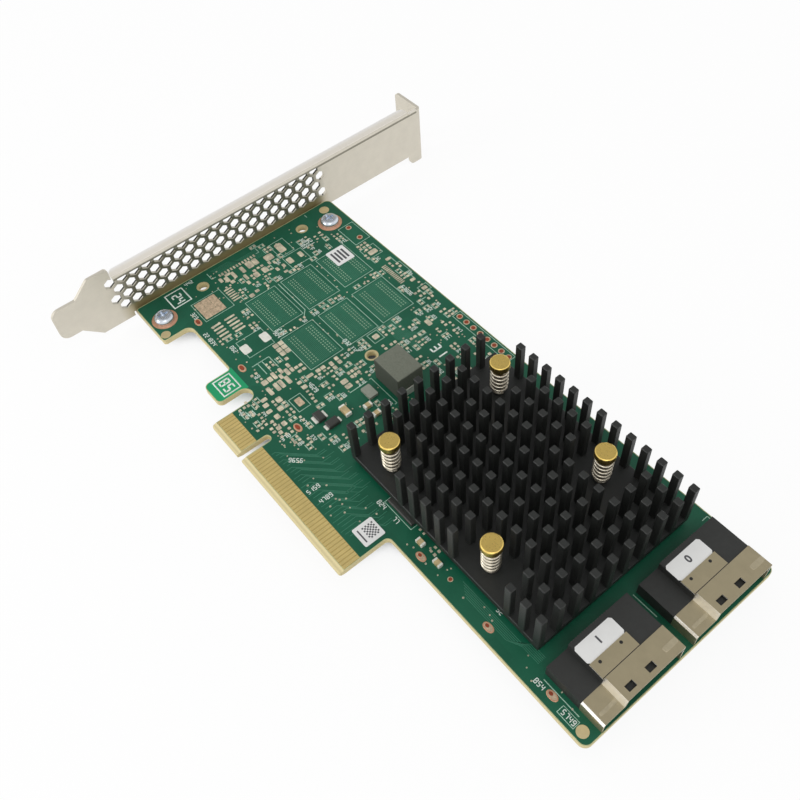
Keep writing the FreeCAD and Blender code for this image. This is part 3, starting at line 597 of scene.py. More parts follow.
class Trees:
    """Geometry Nodes trees for what repeats or follows a path."""

    steps_a_turn: int = 28
    wire_sides: int = 12
    foot_part: Point = (0.06, 0.20)

    @staticmethod
    def start(name: str, sockets: dict[str, str]) -> tuple[Wiring, bpy.types.Node, bpy.types.Node]:
        """Open a tree with named inputs and one geometry output.

        Args:
            name: the tree's name.
            sockets: socket type by input name.

        Returns:
            The tree's wiring, its input node and its output node.
        """
        group = bpy.data.node_groups.new(name, "GeometryNodeTree")
        for label, kind in sockets.items():
            group.interface.new_socket(name=label, in_out="INPUT", socket_type=kind)
        group.interface.new_socket(name="Geometry", in_out="OUTPUT", socket_type="NodeSocketGeometry")
        wiring = Wiring(group)
        return wiring, wiring.add("NodeGroupInput"), wiring.add("NodeGroupOutput")

    @staticmethod
    def close(wiring: Wiring, geometry: object, material: object, output: bpy.types.Node) -> None:
        """End a tree in Realize Instances and Set Material.

        Args:
            wiring: the tree's wiring.
            geometry, material: the sockets of what the tree made and of its finish.
            output: the tree's output node.
        """
        real = wiring.add("GeometryNodeRealizeInstances", {"Geometry": geometry})
        dressed = wiring.add("GeometryNodeSetMaterial", {"Geometry": real.outputs[0], "Material": material})
        wiring.tree.links.new(dressed.outputs[0], output.inputs[0])

    @classmethod
    def repeat(cls) -> bpy.types.NodeTree:
        """Tree that sets a pattern on each point, by the point's size and turn.

        Returns:
            The tree, made at its first use.
        """
        made = bpy.data.node_groups.get("repeat_on_points")
        if made:
            return made
        wiring, given, output = cls.start("repeat_on_points", {
            "Points": "NodeSocketGeometry", "Pattern": "NodeSocketObject", "Material": "NodeSocketMaterial"})
        pattern = wiring.add("GeometryNodeObjectInfo", {"Object": given.outputs["Pattern"]})
        size = wiring.add("GeometryNodeInputNamedAttribute", {"Name": "size"}, data_type="FLOAT_VECTOR")
        turn = wiring.add("GeometryNodeInputNamedAttribute", {"Name": "turn"}, data_type="FLOAT_VECTOR")
        placed = wiring.add("GeometryNodeInstanceOnPoints", {
            "Points": given.outputs["Points"], "Instance": pattern.outputs["Geometry"],
            "Rotation": turn.outputs[0], "Scale": size.outputs[0]})
        cls.close(wiring, placed.outputs[0], given.outputs["Material"], output)
        return wiring.tree

    @classmethod
    def stroke(cls) -> bpy.types.NodeTree:
        """Tree that lays a flat strip of a given width and height along every edge path.

        Returns:
            The tree, made at its first use.
        """
        made = bpy.data.node_groups.get("strip_along_path")
        if made:
            return made
        wiring, given, output = cls.start("strip_along_path", {
            "Paths": "NodeSocketGeometry", "Width": "NodeSocketFloat", "Height": "NodeSocketFloat",
            "Material": "NodeSocketMaterial"})
        path = wiring.add("GeometryNodeMeshToCurve", {"Mesh": given.outputs["Paths"]})
        level = wiring.add("GeometryNodeSetCurveNormal", {"Curve": path.outputs[0]}, mode="Z_UP")
        section = wiring.add("GeometryNodeCurvePrimitiveQuadrilateral", {
            "Width": given.outputs["Width"], "Height": given.outputs["Height"]})
        strip = wiring.add("GeometryNodeCurveToMesh", {
            "Curve": level.outputs[0], "Profile Curve": section.outputs[0], "Fill Caps": True})
        cls.close(wiring, strip.outputs[0], given.outputs["Material"], output)
        return wiring.tree

    @classmethod
    def coil(cls) -> bpy.types.NodeTree:
        """Tree that winds a coil spring with a narrower foot on each point.

        Returns:
            The tree.
        """
        wiring, given, output = cls.start("coil_on_points", {
            "Points": "NodeSocketGeometry", "Turns": "NodeSocketFloat", "Foot Radius": "NodeSocketFloat",
            "Head Radius": "NodeSocketFloat", "Rise": "NodeSocketFloat", "Wire": "NodeSocketFloat",
            "Material": "NodeSocketMaterial"})
        spiral = wiring.add("GeometryNodeCurveSpiral", {
            "Resolution": cls.steps_a_turn, "Rotations": given.outputs["Turns"], "Height": 0.0,
            "Start Radius": given.outputs["Head Radius"], "End Radius": given.outputs["Head Radius"]})
        along = wiring.add("GeometryNodeSplineParameter").outputs["Factor"]
        lift = wiring.add("ShaderNodeCombineXYZ", {2: wiring.math("MULTIPLY", along, given.outputs["Rise"])})
        least = wiring.math("DIVIDE", given.outputs["Foot Radius"], given.outputs["Head Radius"])
        foot_from, foot_to = cls.foot_part
        share = wiring.add("ShaderNodeMapRange", {
            "Value": along, 1: foot_from, 2: foot_to, 3: least, 4: 1.0},
            interpolation_type="SMOOTHSTEP").outputs[0]
        narrow = wiring.add("ShaderNodeCombineXYZ", {0: share, 1: share, 2: 1.0})
        place = wiring.add("GeometryNodeInputPosition").outputs[0]
        shaped = wiring.add("ShaderNodeVectorMath", {0: place, 1: narrow.outputs[0]}, operation="MULTIPLY")
        raised = wiring.add("GeometryNodeSetPosition", {
            "Geometry": spiral.outputs[0], "Position": shaped.outputs[0], "Offset": lift.outputs[0]})
        section = wiring.add("GeometryNodeCurvePrimitiveCircle", {
            "Resolution": cls.wire_sides, "Radius": given.outputs["Wire"]})
        wire = wiring.add("GeometryNodeCurveToMesh", {
            "Curve": raised.outputs[0], "Profile Curve": section.outputs[0], "Fill Caps": True})
        placed = wiring.add("GeometryNodeInstanceOnPoints", {
            "Points": given.outputs["Points"], "Instance": wire.outputs[0]})
        cls.close(wiring, placed.outputs[0], given.outputs["Material"], output)
        return wiring.tree

    @classmethod
    def fins(cls) -> bpy.types.NodeTree:
        """Tree that stands fin pins on a grid, with room round the push pins and at one corner.

        Returns:
            The tree.
        """
        wiring, given, output = cls.start("fin_pins_on_base", {
            "Base": "NodeSocketGeometry", "Pin": "NodeSocketObject", "Columns": "NodeSocketInt",
            "Rows": "NodeSocketInt", "Length": "NodeSocketFloat", "Width": "NodeSocketFloat",
            "Middle": "NodeSocketVector", "Fixing Middle": "NodeSocketVector",
            "Fixing Half": "NodeSocketFloat", "Room X": "NodeSocketFloat", "Room Y": "NodeSocketFloat",
            "Corner X": "NodeSocketFloat", "Corner Y": "NodeSocketFloat", "Material": "NodeSocketMaterial"})
        grid = wiring.add("GeometryNodeMeshGrid", {
            "Size X": given.outputs["Length"], "Size Y": given.outputs["Width"],
            "Vertices X": given.outputs["Columns"], "Vertices Y": given.outputs["Rows"]})
        moved = wiring.add("GeometryNodeTransform", {
            "Geometry": grid.outputs[0], "Translation": given.outputs["Middle"]})
        place = wiring.add("GeometryNodeInputPosition").outputs[0]
        at = wiring.add("ShaderNodeSeparateXYZ", {0: place}).outputs
        fixing = wiring.add("ShaderNodeSeparateXYZ", {0: given.outputs["Fixing Middle"]}).outputs
        near = []
        for axis, room in ((0, "Room X"), (1, "Room Y")):
            away = wiring.math("ABSOLUTE", wiring.math("SUBTRACT", at[axis], fixing[axis]))
            away = wiring.math("ABSOLUTE", wiring.math("SUBTRACT", away, given.outputs["Fixing Half"]))
            near.append(wiring.math("LESS_THAN", away, given.outputs[room]))
        at_fixing = wiring.math("MULTIPLY", near[0], near[1])
        left = wiring.math("LESS_THAN", at[0], given.outputs["Corner X"])
        high = wiring.math("GREATER_THAN", at[1], given.outputs["Corner Y"])
        cleared = wiring.math("MAXIMUM", at_fixing, wiring.math("MULTIPLY", left, high))
        kept = wiring.add("GeometryNodeDeleteGeometry", {
            "Geometry": moved.outputs[0], "Selection": cleared}, domain="POINT")
        pin = wiring.add("GeometryNodeObjectInfo", {"Object": given.outputs["Pin"]})
        stood = wiring.add("GeometryNodeInstanceOnPoints", {
            "Points": kept.outputs[0], "Instance": pin.outputs["Geometry"]})
        joined = wiring.add("GeometryNodeJoinGeometry", {"Geometry": given.outputs["Base"]})
        wiring.tree.links.new(stood.outputs[0], joined.inputs[0])
        cls.close(wiring, joined.outputs[0], given.outputs["Material"], output)
        return wiring.tree


class Workshop:
    """Turns meshes and trees into pieces that ride on the card."""

    cad = frame["nodes"]

    @staticmethod
    def place(name: str, mesh: bpy.types.Mesh) -> bpy.types.Object:
        """Put a mesh into the scene as an object at the origin.

        Args:
            name: the object's name.
            mesh: its mesh.

        Returns:
            The new object.
        """
        thing = bpy.data.objects.new(name, mesh)
        bpy.context.scene.collection.objects.link(thing)
        return thing

    @staticmethod
    def baked(thing: bpy.types.Object) -> bpy.types.Mesh:
        """Read an object as its modifiers leave it.

        Args:
            thing: the object.

        Returns:
            Its plain mesh.
        """
        bpy.context.view_layer.update()
        graph = bpy.context.evaluated_depsgraph_get()
        return bpy.data.meshes.new_from_object(thing.evaluated_get(graph))

    @classmethod
    def settle(cls, thing: bpy.types.Object) -> bpy.types.Object:
        """Bake an object's modifiers into a plain mesh and remove them.

        Args:
            thing: the object.

        Returns:
            The same object.
        """
        mesh = cls.baked(thing)
        thing.modifiers.clear()
        thing.data = mesh
        return thing

    @classmethod
    def grow(cls, thing: bpy.types.Object, tree: bpy.types.NodeTree,
             values: dict[str, object]) -> bpy.types.Object:
        """Run a tree on an object and keep the plain result.

        Args:
            thing: the object that holds the tree's first geometry.
            tree: the Geometry Nodes tree.
            values: a value for each named input.

        Returns:
            The same object with its finished mesh.
        """
        modifier = thing.modifiers.new(tree.name, "NODES")
        modifier.node_group = tree
        names = {item.name: item.identifier for item in tree.interface.items_tree if item.in_out == "INPUT"}
        for label, value in values.items():
            modifier[names[label]] = value
        return cls.settle(thing)

    @classmethod
    def ready(cls, piece: bpy.types.Object, slot: str, nodes: Sequence[str] = ()) -> None:
        """Let a finished piece ride on the card.

        Args:
            piece: the finished piece.
            slot: the record's material slot, which is not used.
            nodes: the CAD nodes that it stands for.
        """
        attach(piece, BODY)
        for node in nodes:
            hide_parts(node)
        log.info("%s: %d faces", piece.name, len(piece.data.polygons))

    @classmethod
    def repeat(cls, name: str, shape: bmesh.types.BMesh, spots: Sequence[Spot], paint: Paint,
               slot: str) -> None:
        """Make a piece of one shape that stands at many places.

        Args:
            name: the piece's name.
            shape: the shape in millimetres.
            spots: the places, with each one's size and turn.
            paint: its finish.
            slot: the record's material slot.
        """
        pattern = cls.place(name + "_pattern", Shapes.finish(shape, name + "_pattern"))
        cls.scatter(name, pattern, spots, paint, slot)

    @classmethod
    def scatter(cls, name: str, pattern: bpy.types.Object, spots: Sequence[Spot], paint: Paint, slot: str,
                nodes: Sequence[str] = ()) -> None:
        """Repeat a pattern object at many places, then remove the pattern.

        Args:
            name: the piece's name.
            pattern: the object that is repeated.
            spots: the places, with each one's size and turn.
            paint: its finish.
            slot: the record's material slot.
            nodes: the CAD nodes that it stands for.
        """
        points = bpy.data.meshes.new(name)
        points.from_pydata([(spot.x * MM, spot.y * MM, spot.z * MM) for spot in spots], [], [])
        size = points.attributes.new("size", "FLOAT_VECTOR", "POINT")
        turn = points.attributes.new("turn", "FLOAT_VECTOR", "POINT")
        for i, spot in enumerate(spots):
            size.data[i].vector = (spot.length, spot.width, spot.height)
            turn.data[i].vector = (0.0, 0.0, math.radians(spot.turn))
        piece = cls.grow(cls.place(name, points), Trees.repeat(), {
            "Pattern": pattern, "Material": paint.material()})
        bpy.data.objects.remove(pattern)
        cls.ready(piece, slot, nodes)

    @classmethod
    def draw(cls, name: str, paths: Sequence[Sequence[Point]], width: float, height: float, paint: Paint,
             slot: str, level: float = BOARD_TOP) -> None:
        """Lay flat strips along paths on one level.

        Args:
            name: the piece's name.
            paths: the paths' points; a path that ends where it starts is closed.
            width, height: the strip's section, half of it sunk in the level.
            paint: its finish.
            slot: the record's material slot.
            level: the level that the strips lie on.
        """
        verts: list[Triple] = []
        edges: list[tuple[int, int]] = []
        for path in paths:
            closed = path[0] == path[-1]
            points = path[:-1] if closed else path
            first = len(verts)
            verts += [(x * MM, y * MM, level * MM) for x, y in points]
            edges += [(first + i, first + i + 1) for i in range(len(points) - 1)]
            if closed:
                edges.append((len(verts) - 1, first))
        mesh = bpy.data.meshes.new(name)
        mesh.from_pydata(verts, edges, [])
        piece = cls.grow(cls.place(name, mesh), Trees.stroke(), {
            "Width": width * MM, "Height": height * MM, "Material": paint.material()})
        cls.ready(piece, slot)

    @classmethod
    def dress(cls, paints: dict[str, Paint]) -> None:
        """Give CAD nodes that stay in view their finishes.

        Args:
            paints: a finish for each node.
        """
        for node, paint in paints.items():
            thing = cls.cad[node]
            if thing.material_slots:
                thing.material_slots[0].material = paint.material()
            else:
                thing.data.materials.append(paint.material())
            log.info("%s: %s", node, paint.value.name)

    @classmethod
    def carve(cls, thing: bpy.types.Object, cutter: bmesh.types.BMesh) -> None:
        """Cut a shape out of an object and bake the result.

        Args:
            thing: the object.
            cutter: the shape that is cut out, in millimetres.
        """
        tool = cls.place("cutter", Shapes.finish(cutter, "cutter"))
        cut = thing.modifiers.new("cut", "BOOLEAN")
        cut.operation = "DIFFERENCE"
        cut.solver = "EXACT"
        cut.object = tool
        cls.settle(thing)
        bpy.data.objects.remove(tool)


def box_path(x0: float, x1: float, y0: float, y1: float) -> list[Point]:
    """Closed path round a rectangle."""
    return [(x0, y0), (x1, y0), (x1, y1), (x0, y1), (x0, y0)]


def pad_grid(x0: float, x1: float, columns: int, y0: float, y1: float, rows: int, fill_x: float,
             fill_y: float) -> list[Spot]:
    """Pads in a grid that fills a rectangle.

    Args:
        x0, x1, y0, y1: the rectangle.
        columns, rows: how many pads lie along each side.
        fill_x, fill_y: the share of its cell that a pad covers along each side.

    Returns:
        The pads' places.
    """
    step_x = (x1 - x0) / columns
    step_y = (y1 - y0) / rows
    return [
        Spot(x0 + (i + 0.5) * step_x, y0 + (j + 0.5) * step_y, length=step_x * fill_x, width=step_y * fill_y)
        for i in range(columns) for j in range(rows)
    ]


def pad_spots(pads: Sequence[Pad]) -> list[Spot]:
    """Places of pads on the board's top."""
    return [Spot(x, y, length=length, width=width) for x, y, length, width in pads]


def both_faces(spots: Sequence[Spot], height: float) -> list[Spot]:
    """Places of a flat shape of a given height on the board's top and again on its underside."""
    return list(spots) + [replace(spot, z=BOARD_BOTTOM - height) for spot in spots]


def inside(x: float, y: float, box: Box) -> bool:
    """Tell whether a point lies inside a rectangle."""
    return box[0] < x < box[1] and box[2] < y < box[3]


def lay(along: float, across: float, upright: bool) -> Point:
    """Turn a length and a width into sizes along X and Y, where an upright part runs along Y."""
    return (across, along) if upright else (along, across)


# Width, stroke and pitch of a printed figure, as shares of its height
FIGURE_WIDTH = 0.5
FIGURE_STROKE = 0.17
FIGURE_PITCH = 0.85


def printed_number(x: float, y: float, turn: float, number: str, height: float) -> list[Spot]:
    """Strokes of a plain number drawn in seven-stroke figures.

    Args:
        x, y: the middle of its first figure.
        turn: the way that it runs, in degrees.
        number: its figures.
        height: how tall a figure is.

    Returns:
        The strokes' places.
    """
    strokes = ("abcdef", "bc", "abged", "abgcd", "fgbc", "afgcd", "afgedc", "abc", "abcdefg", "abcdfg")
    wide = FIGURE_WIDTH * height
    thick = FIGURE_STROKE * height
    flat = {"a": 0.5, "g": 0.0, "d": -0.5}
    upright = {"b": (0.5, 0.25), "c": (0.5, -0.25), "e": (-0.5, -0.25), "f": (-0.5, 0.25)}
    cosine = math.cos(math.radians(turn))
    sine = math.sin(math.radians(turn))
    spots = []
    for i, figure in enumerate(number):
        for stroke in strokes[int(figure)]:
            along = i * FIGURE_PITCH * height
            if stroke in flat:
                across = flat[stroke] * height
                size = (wide, thick)
            else:
                along += upright[stroke][0] * wide
                across = upright[stroke][1] * height
                size = (thick, 0.5 * height)
            spots.append(Spot(x + along * cosine - across * sine, y + along * sine + across * cosine,
                              length=size[0], width=size[1], turn=turn))
    return spots


@dataclass
class SmallParts:
    """Pads, outlines and numbers of the small parts that aren't fitted, the same at each run."""

    taken: list[Box]
    clusters: Sequence[Cluster]
    seed: int
    limits: Box = (-57.4, 97.0, 6.8, 68.2)
    claimed: Point = (1.15, 0.55)
    reach: float = 0.62
    pad_lengths: Point = (0.55, 0.85)
    pad_widths: Point = (0.65, 0.85)
    outline_chance: float = 0.45
    outline_half: Point = (1.0, 0.62)
    number_chance: float = 0.5
    number_range: tuple[int, int] = (10, 399)
    number_away: float = 1.1
    number_claimed: Point = (1.2, 0.5)
    number_height: float = 0.8
    number_half_pitch: float = 0.35
    upright_chance: float = 0.5
    row_pitch: float = 1.2
    row_choices: tuple[int, ...] = (1, 1, 2, 3)
    pads: list[Spot] = field(default_factory=list)
    outlines: list[list[Point]] = field(default_factory=list)
    numbers: list[Spot] = field(default_factory=list)

    def claim(self, x: float, y: float, half_x: float, half_y: float) -> bool:
        """Take a rectangle round a point if it is free.

        Args:
            x, y: the rectangle's middle.
            half_x, half_y: half its sides.

        Returns:
            Whether it was free.
        """
        box = (x - half_x, x + half_x, y - half_y, y + half_y)
        x0, x1, y0, y1 = self.limits
        if box[0] < x0 or box[1] > x1 or box[2] < y0 or box[3] > y1:
            return False
        for other in self.taken:
            if box[0] < other[1] and box[1] > other[0] and box[2] < other[3] and box[3] > other[2]:
                return False
        self.taken.append(box)
        return True

    def fit(self, x: float, y: float, upright: bool, chance: random.Random) -> None:
        """Set one pair of pads, and print an outline or a number beside some of them.

        Args:
            x, y: the pair's middle.
            upright: whether the pair runs along Y.
            chance: the source of its sizes, in a fixed order.
        """
        if not self.claim(x, y, *lay(*self.claimed, upright)):
            return
        long = chance.uniform(*self.pad_lengths)
        wide = chance.uniform(*self.pad_widths)
        length, width = lay(long, wide, upright)
        for side in (-self.reach, self.reach):
            dx, dy = lay(side, 0.0, upright)
            self.pads.append(Spot(x + dx, y + dy, length=length, width=width))
        if chance.random() < self.outline_chance:
            half, away = self.outline_half
            for side in (-away, away):
                ends = [lay(end, side, upright) for end in (-half, half)]
                self.outlines.append([(x + dx, y + dy) for dx, dy in ends])
        if chance.random() < self.number_chance:
            self.print_number(x, y, upright, str(chance.randint(*self.number_range)))

    def print_number(self, x: float, y: float, upright: bool, number: str) -> None:
        """Print a number beside a pair of pads if there is room.

        Args:
            x, y: the pair's middle.
            upright: whether the pair runs along Y.
            number: the number's figures.
        """
        dx, dy = lay(0.0, self.number_away, upright)
        if self.claim(x + dx, y + dy, *lay(*self.number_claimed, upright)):
            back = lay(-self.number_half_pitch * (len(number) - 1), 0.0, upright)
            start = (x + dx + back[0], y + dy + back[1])
            self.numbers += printed_number(*start, 90 if upright else 0, number, self.number_height)

    def fill(self) -> None:
        """Fill the clusters with short rows of parts."""
        chance = random.Random(self.seed)
        for x0, x1, y0, y1, tries in self.clusters:
            for _ in range(tries):
                x = chance.uniform(x0, x1)
                y = chance.uniform(y0, y1)
                upright = chance.random() < self.upright_chance
                for i in range(chance.choice(self.row_choices)):
                    dx, dy = lay(0.0, self.row_pitch * i, upright)
                    self.fit(x + dx, y + dy, upright, chance)

    def uncover(self, box: Box) -> None:
        """Take away the parts that stand in a box.

        Args:
            box: the part of the board that stays bare.
        """
        self.pads = [spot for spot in self.pads if not inside(spot.x, spot.y, box)]
        self.numbers = [spot for spot in self.numbers if not inside(spot.x, spot.y, box)]
        self.outlines = [line for line in self.outlines if not inside(*line[0], box)]


@dataclass(frozen=True)
class TongueTracks:
    """Tracks that climb from the contact tongue and lean towards the heat sink."""

    count: int = 30
    first_x: float = 4.5
    pitch: float = 1.0
    stub: float = 6.2
    stub_step: float = 0.5
    stub_kinds: int = 3
    climb: float = 0.9
    climb_step: float = 0.12
    long_count: int = 16
    long_lean: float = 7.0
    short_lean: float = 3.5
    lean_step: float = 0.45
    highest: float = 17.6
    tail: float = 2.4

    def paths(self) -> list[list[Point]]:
        """Trace the tracks.

        Returns:
            One path for each track.
        """
        paths = []
        for i in range(self.count):
            x = self.first_x + i * self.pitch
            stub = self.stub + (i % self.stub_kinds) * self.stub_step
            lean = self.long_lean if i < self.long_count else self.short_lean
            lean -= (i % 2) * self.lean_step
            start = stub + self.climb + self.climb_step * i
            end = min(start + lean, self.highest)
            side = x + end - start
            paths.append([(x, stub), (x, start), (side, end), (side, end + self.tail)])
        return paths


@dataclass(frozen=True)
class TrackGroup:
    """Tracks side by side, each with its points a step away from those of the one before."""

    count: int
    points: tuple[Point, ...]
    steps: tuple[Point, ...]

    def paths(self) -> list[list[Point]]:
        """Return one path for each track."""
        pairs = list(zip(self.points, self.steps))
        return [[(x + i * dx, y + i * dy) for (x, y), (dx, dy) in pairs] for i in range(self.count)]


TRACK_GROUPS = (
    TrackGroup(9, ((-56.6, 27.5), (-56.6, 33.0), (-55.4, 34.2), (-55.4, 44.0)),
               ((0.42, 0.2), (0.42, 0.5), (0.42, 0.5), (0.42, 0.0))),
    TrackGroup(6, ((57.5, 18.7), (75.0, 18.7), (76.6, 20.2), (80.2, 20.2)),
               ((0.6, -0.38), (-0.5, -0.38), (-0.2, -0.38), (0.0, -0.38))),
    TrackGroup(10, ((-9.2, 50.2), (-3.0, 50.2), (-1.6, 51.6), (2.6, 51.6)),
               ((0.0, 0.42), (0.0, 0.42), (0.0, 0.42), (0.0, 0.42))),
)


@dataclass
class BoardFace:
    """Printed, plated and coated detail on the board."""

    pad_height: float = 0.04
    legend_width: float = 0.22
    legend_height: float = 0.03
    trace_width: float = 0.16
    trace_height: float = 0.02
    ball_pitch: float = 0.80
    ball_radius: float = 0.18
    rim_width: float = 0.18
    rim_height: float = 0.01
    merge_reach: float = 1e-4
    face_cosine: float = 0.99
    seed: int = 11
    memory_boxes: tuple[Box, ...] = (
        (-40.1, -26.7, 28.0, 37.5), (-40.1, -26.7, 39.5, 49.5), (-40.1, -26.7, 51.3, 60.9),
        (-23.3, -9.8, 27.9, 38.0), (-23.3, -9.8, 39.9, 49.3), (-23.3, -9.8, 51.0, 61.1),
    )
    keep_clear: tuple[Box, ...] = (
        (2.6, 12.8, 37.8, 46.6), (3.0, 8.2, 32.6, 36.4), (1.4, 8.8, 19.0, 24.6), (4.2, 8.2, 25.4, 27.8),
        (7.6, 13.2, 30.2, 33.2), (-5.6, -1.0, 39.8, 44.4), (-6.0, -1.0, 18.0, 21.8), (-2.4, 1.6, 30.6, 33.2),
        (-9.4, -5.6, 44.9, 48.4), (-1.6, 1.6, 5.0, 9.4), (-57.2, -50.8, 12.2, 18.8),
        (-56.0, -50.6, 20.0, 25.6), (-56.0, -50.6, 53.2, 58.8), (-53.6, -46.4, 59.8, 67.2),
        (-57.2, -53.6, 63.6, 67.0), (-40.4, -33.8, 54.6, 61.0), (-46.4, -43.8, 45.2, 51.0),
        (-28.6, -24.6, 18.0, 26.8), (-44.6, -41.2, 13.8, 16.2), (-23.8, -20.2, 14.0, 16.4),
        (0.6, 4.0, 14.2, 16.4), (4.6, 10.0, 53.4, 57.4), (-46.2, -37.2, 63.0, 68.4),
        (0.4, 21.2, 65.4, 68.6), (84.4, 88.2, 14.4, 17.4), (66.4, 70.2, 14.4, 17.4),
        (43.0, 47.0, 16.6, 18.8), (49.6, 52.4, 16.4, 18.4), (45.6, 49.2, 14.4, 17.0),
        (-7.0, -2.0, 24.4, 25.8),
    )
    bare_place: Box = (52.4, 59.6, 14.4, 19.6)
    clusters: tuple[Cluster, ...] = (
        (-53.0, -41.4, 26.6, 46.0, 240), (-56.8, -54.6, 40.0, 48.0, 6), (-52.5, -41.2, 51.0, 62.0, 44),
        (-9.2, 2.0, 22.0, 38.0, 260), (-9.2, 2.4, 48.6, 66.0, 76), (-11.8, 1.8, 7.6, 18.0, 260),
        (8.6, 15.0, 19.0, 38.0, 50), (2.0, 9.0, 11.0, 18.8, 24), (2.5, 17.0, 47.5, 64.6, 36),
        (-9.6, 1.0, 38.4, 45.6, 30), (42.6, 57.5, 16.4, 19.0, 14), (-26.2, -23.9, 28.0, 62.0, 46),
        (-20.0, -16.6, 14.6, 25.0, 12), (-36.0, -10.0, 61.8, 67.6, 44), (-40.0, -30.6, 14.6, 27.0, 22),
    )
    pad_grids: tuple[Grid, ...] = (
        (-23.1, -18.2, 3, 24.9, 28.0, 2, 0.88, 0.88), (-48.2, -42.5, 6, 26.1, 28.5, 1, 0.50, 0.98),
        (-39.4, -32.8, 5, 20.5, 23.7, 1, 0.50, 0.98), (-39.4, -32.8, 5, 16.5, 19.4, 1, 0.50, 0.98),
        (-26.0, -17.4, 14, 63.0, 64.7, 1, 0.55, 0.86), (-54.2, -53.1, 1, 28.0, 40.2, 13, 0.96, 0.55),
        (-9.3, -6.4, 2, 34.3, 35.4, 1, 0.86, 0.96), (-3.4, -0.6, 2, 33.8, 37.0, 3, 0.68, 0.80),
        (-9.1, -7.9, 1, 28.4, 31.3, 2, 0.94, 0.88),
    )
    lone_pads: tuple[Pad, ...] = (
        (-51.5, 38.7, 2.6, 1.5), (-51.6, 36.9, 2.8, 1.9), (-51.2, 34.4, 2.6, 1.1), (-47.0, 39.0, 2.2, 1.6),
        (-47.0, 36.3, 2.0, 1.5), (-48.7, 36.6, 0.9, 1.0), (-51.2, 31.5, 2.8, 1.0), (-51.0, 29.2, 2.2, 1.2),
        (-52.5, 30.3, 0.9, 1.8), (-49.2, 29.9, 1.2, 1.2), (-51.8, 27.7, 1.8, 0.9), (-48.2, 33.6, 2.2, 0.9),
        (-46.0, 33.0, 1.4, 0.9), (-41.3, 31.0, 1.3, 1.4), (-41.8, 33.0, 1.0, 1.2), (-50.3, 42.5, 2.4, 2.6),
        (-44.8, 41.7, 1.4, 0.9), (-44.8, 43.8, 1.4, 0.9), (-48.4, 41.4, 1.2, 0.8), (-42.5, 43.0, 0.8, 1.2),
        (-13.4, 23.1, 2.3, 1.1), (-14.8, 22.0, 2.0, 0.9), (-13.2, 21.1, 1.6, 0.9), (-14.6, 19.9, 2.4, 1.0),
        (-14.3, 18.5, 1.6, 1.2), (-14.3, 16.9, 1.6, 1.6), (-11.2, 21.8, 2.8, 1.1), (-11.2, 19.9, 2.8, 1.1),
        (-11.2, 18.5, 2.8, 1.1), (-11.2, 16.4, 2.8, 1.1), (-15.0, 24.4, 1.5, 0.9), (-13.2, 24.4, 1.5, 0.9),
        (-13.0, 26.9, 0.9, 1.0), (-11.4, 26.9, 0.9, 1.0), (-13.0, 25.6, 0.9, 1.0), (-11.4, 25.6, 0.9, 1.0),
        (-17.0, 25.4, 1.0, 1.0), (-8.6, 26.6, 1.0, 2.0), (-8.0, 32.9, 1.5, 1.0), (-6.4, 32.9, 1.2, 1.0),
        (-6.6, 23.6, 1.2, 1.4), (-8.5, 23.4, 1.0, 1.2), (-7.6, 16.6, 1.8, 1.5), (-5.2, 15.4, 1.5, 1.5),
        (-10.0, 13.8, 1.1, 1.6), (-8.3, 13.2, 1.3, 1.4), (-6.2, 12.8, 1.1, 1.5), (-3.7, 13.4, 1.5, 1.3),
        (-0.9, 13.5, 1.4, 1.2), (-0.7, 11.8, 1.2, 1.2), (0.7, 11.4, 1.1, 1.0), (-2.1, 59.7, 2.2, 1.3),
        (-51.2, 47.0, 3.9, 2.1), (-32.2, 65.1, 1.7, 2.7), (-1.3, 31.9, 1.5, 1.8), (0.5, 31.9, 1.4, 1.8),
        (-45.2, 49.8, 2.2, 1.3), (-45.2, 46.2, 2.4, 1.6), (-7.5, 46.7, 1.6, 1.7), (-12.2, 66.9, 1.2, 1.5),
        (-16.6, 66.5, 1.0, 1.5), (-27.2, 66.5, 1.0, 1.5),
    )
    copper_grid: Grid = (-49.0, -42.2, 3, 17.2, 23.5, 3, 0.985, 0.985)
    lone_copper: tuple[Pad, ...] = ((-3.7, 20.0, 2.6, 1.7),)
    tinned_pads: tuple[Pad, ...] = ((-26.7, 25.4, 3.3, 2.3), (-26.6, 19.3, 3.2, 2.3))
    frames: tuple[Box, ...] = ((-57.0, -51.4, 12.9, 18.1), (-22.9, -17.4, 7.0, 11.8))
    frame_width: float = 0.5
    via_zones: tuple[Cluster, ...] = (
        (-56.0, 14.0, 14.5, 67.0, 330), (-11.5, 8.0, 6.6, 15.0, 46), (8.0, 38.0, 7.0, 15.0, 16),
        (42.0, 92.0, 14.6, 18.8, 22),
    )
    via_sizes: Point = (0.16, 0.26)
    via_height: float = 0.03
    ball_columns: int = 14
    ball_rows: int = 3
    ball_blocks: Point = (0.24, 0.78)
    outline_boxes: tuple[Box, ...] = (
        (-49.4, -41.6, 16.7, 25.5), (-30.0, -23.5, 18.5, 26.2), (-54.1, -48.0, 44.9, 49.6),
        (-47.4, -42.2, 45.0, 51.2), (-34.8, -30.5, 62.6, 67.2), (0.5, 21.0, 65.7, 68.3),
        (-45.8, -37.5, 63.3, 68.2), (-5.8, -1.2, 18.2, 21.6), (-9.2, -5.8, 45.1, 48.2),
        (-13.4, -11.0, 65.4, 68.3), (31.8, 41.0, 18.2, 24.8), (89.0, 93.2, 14.4, 16.2),
    )
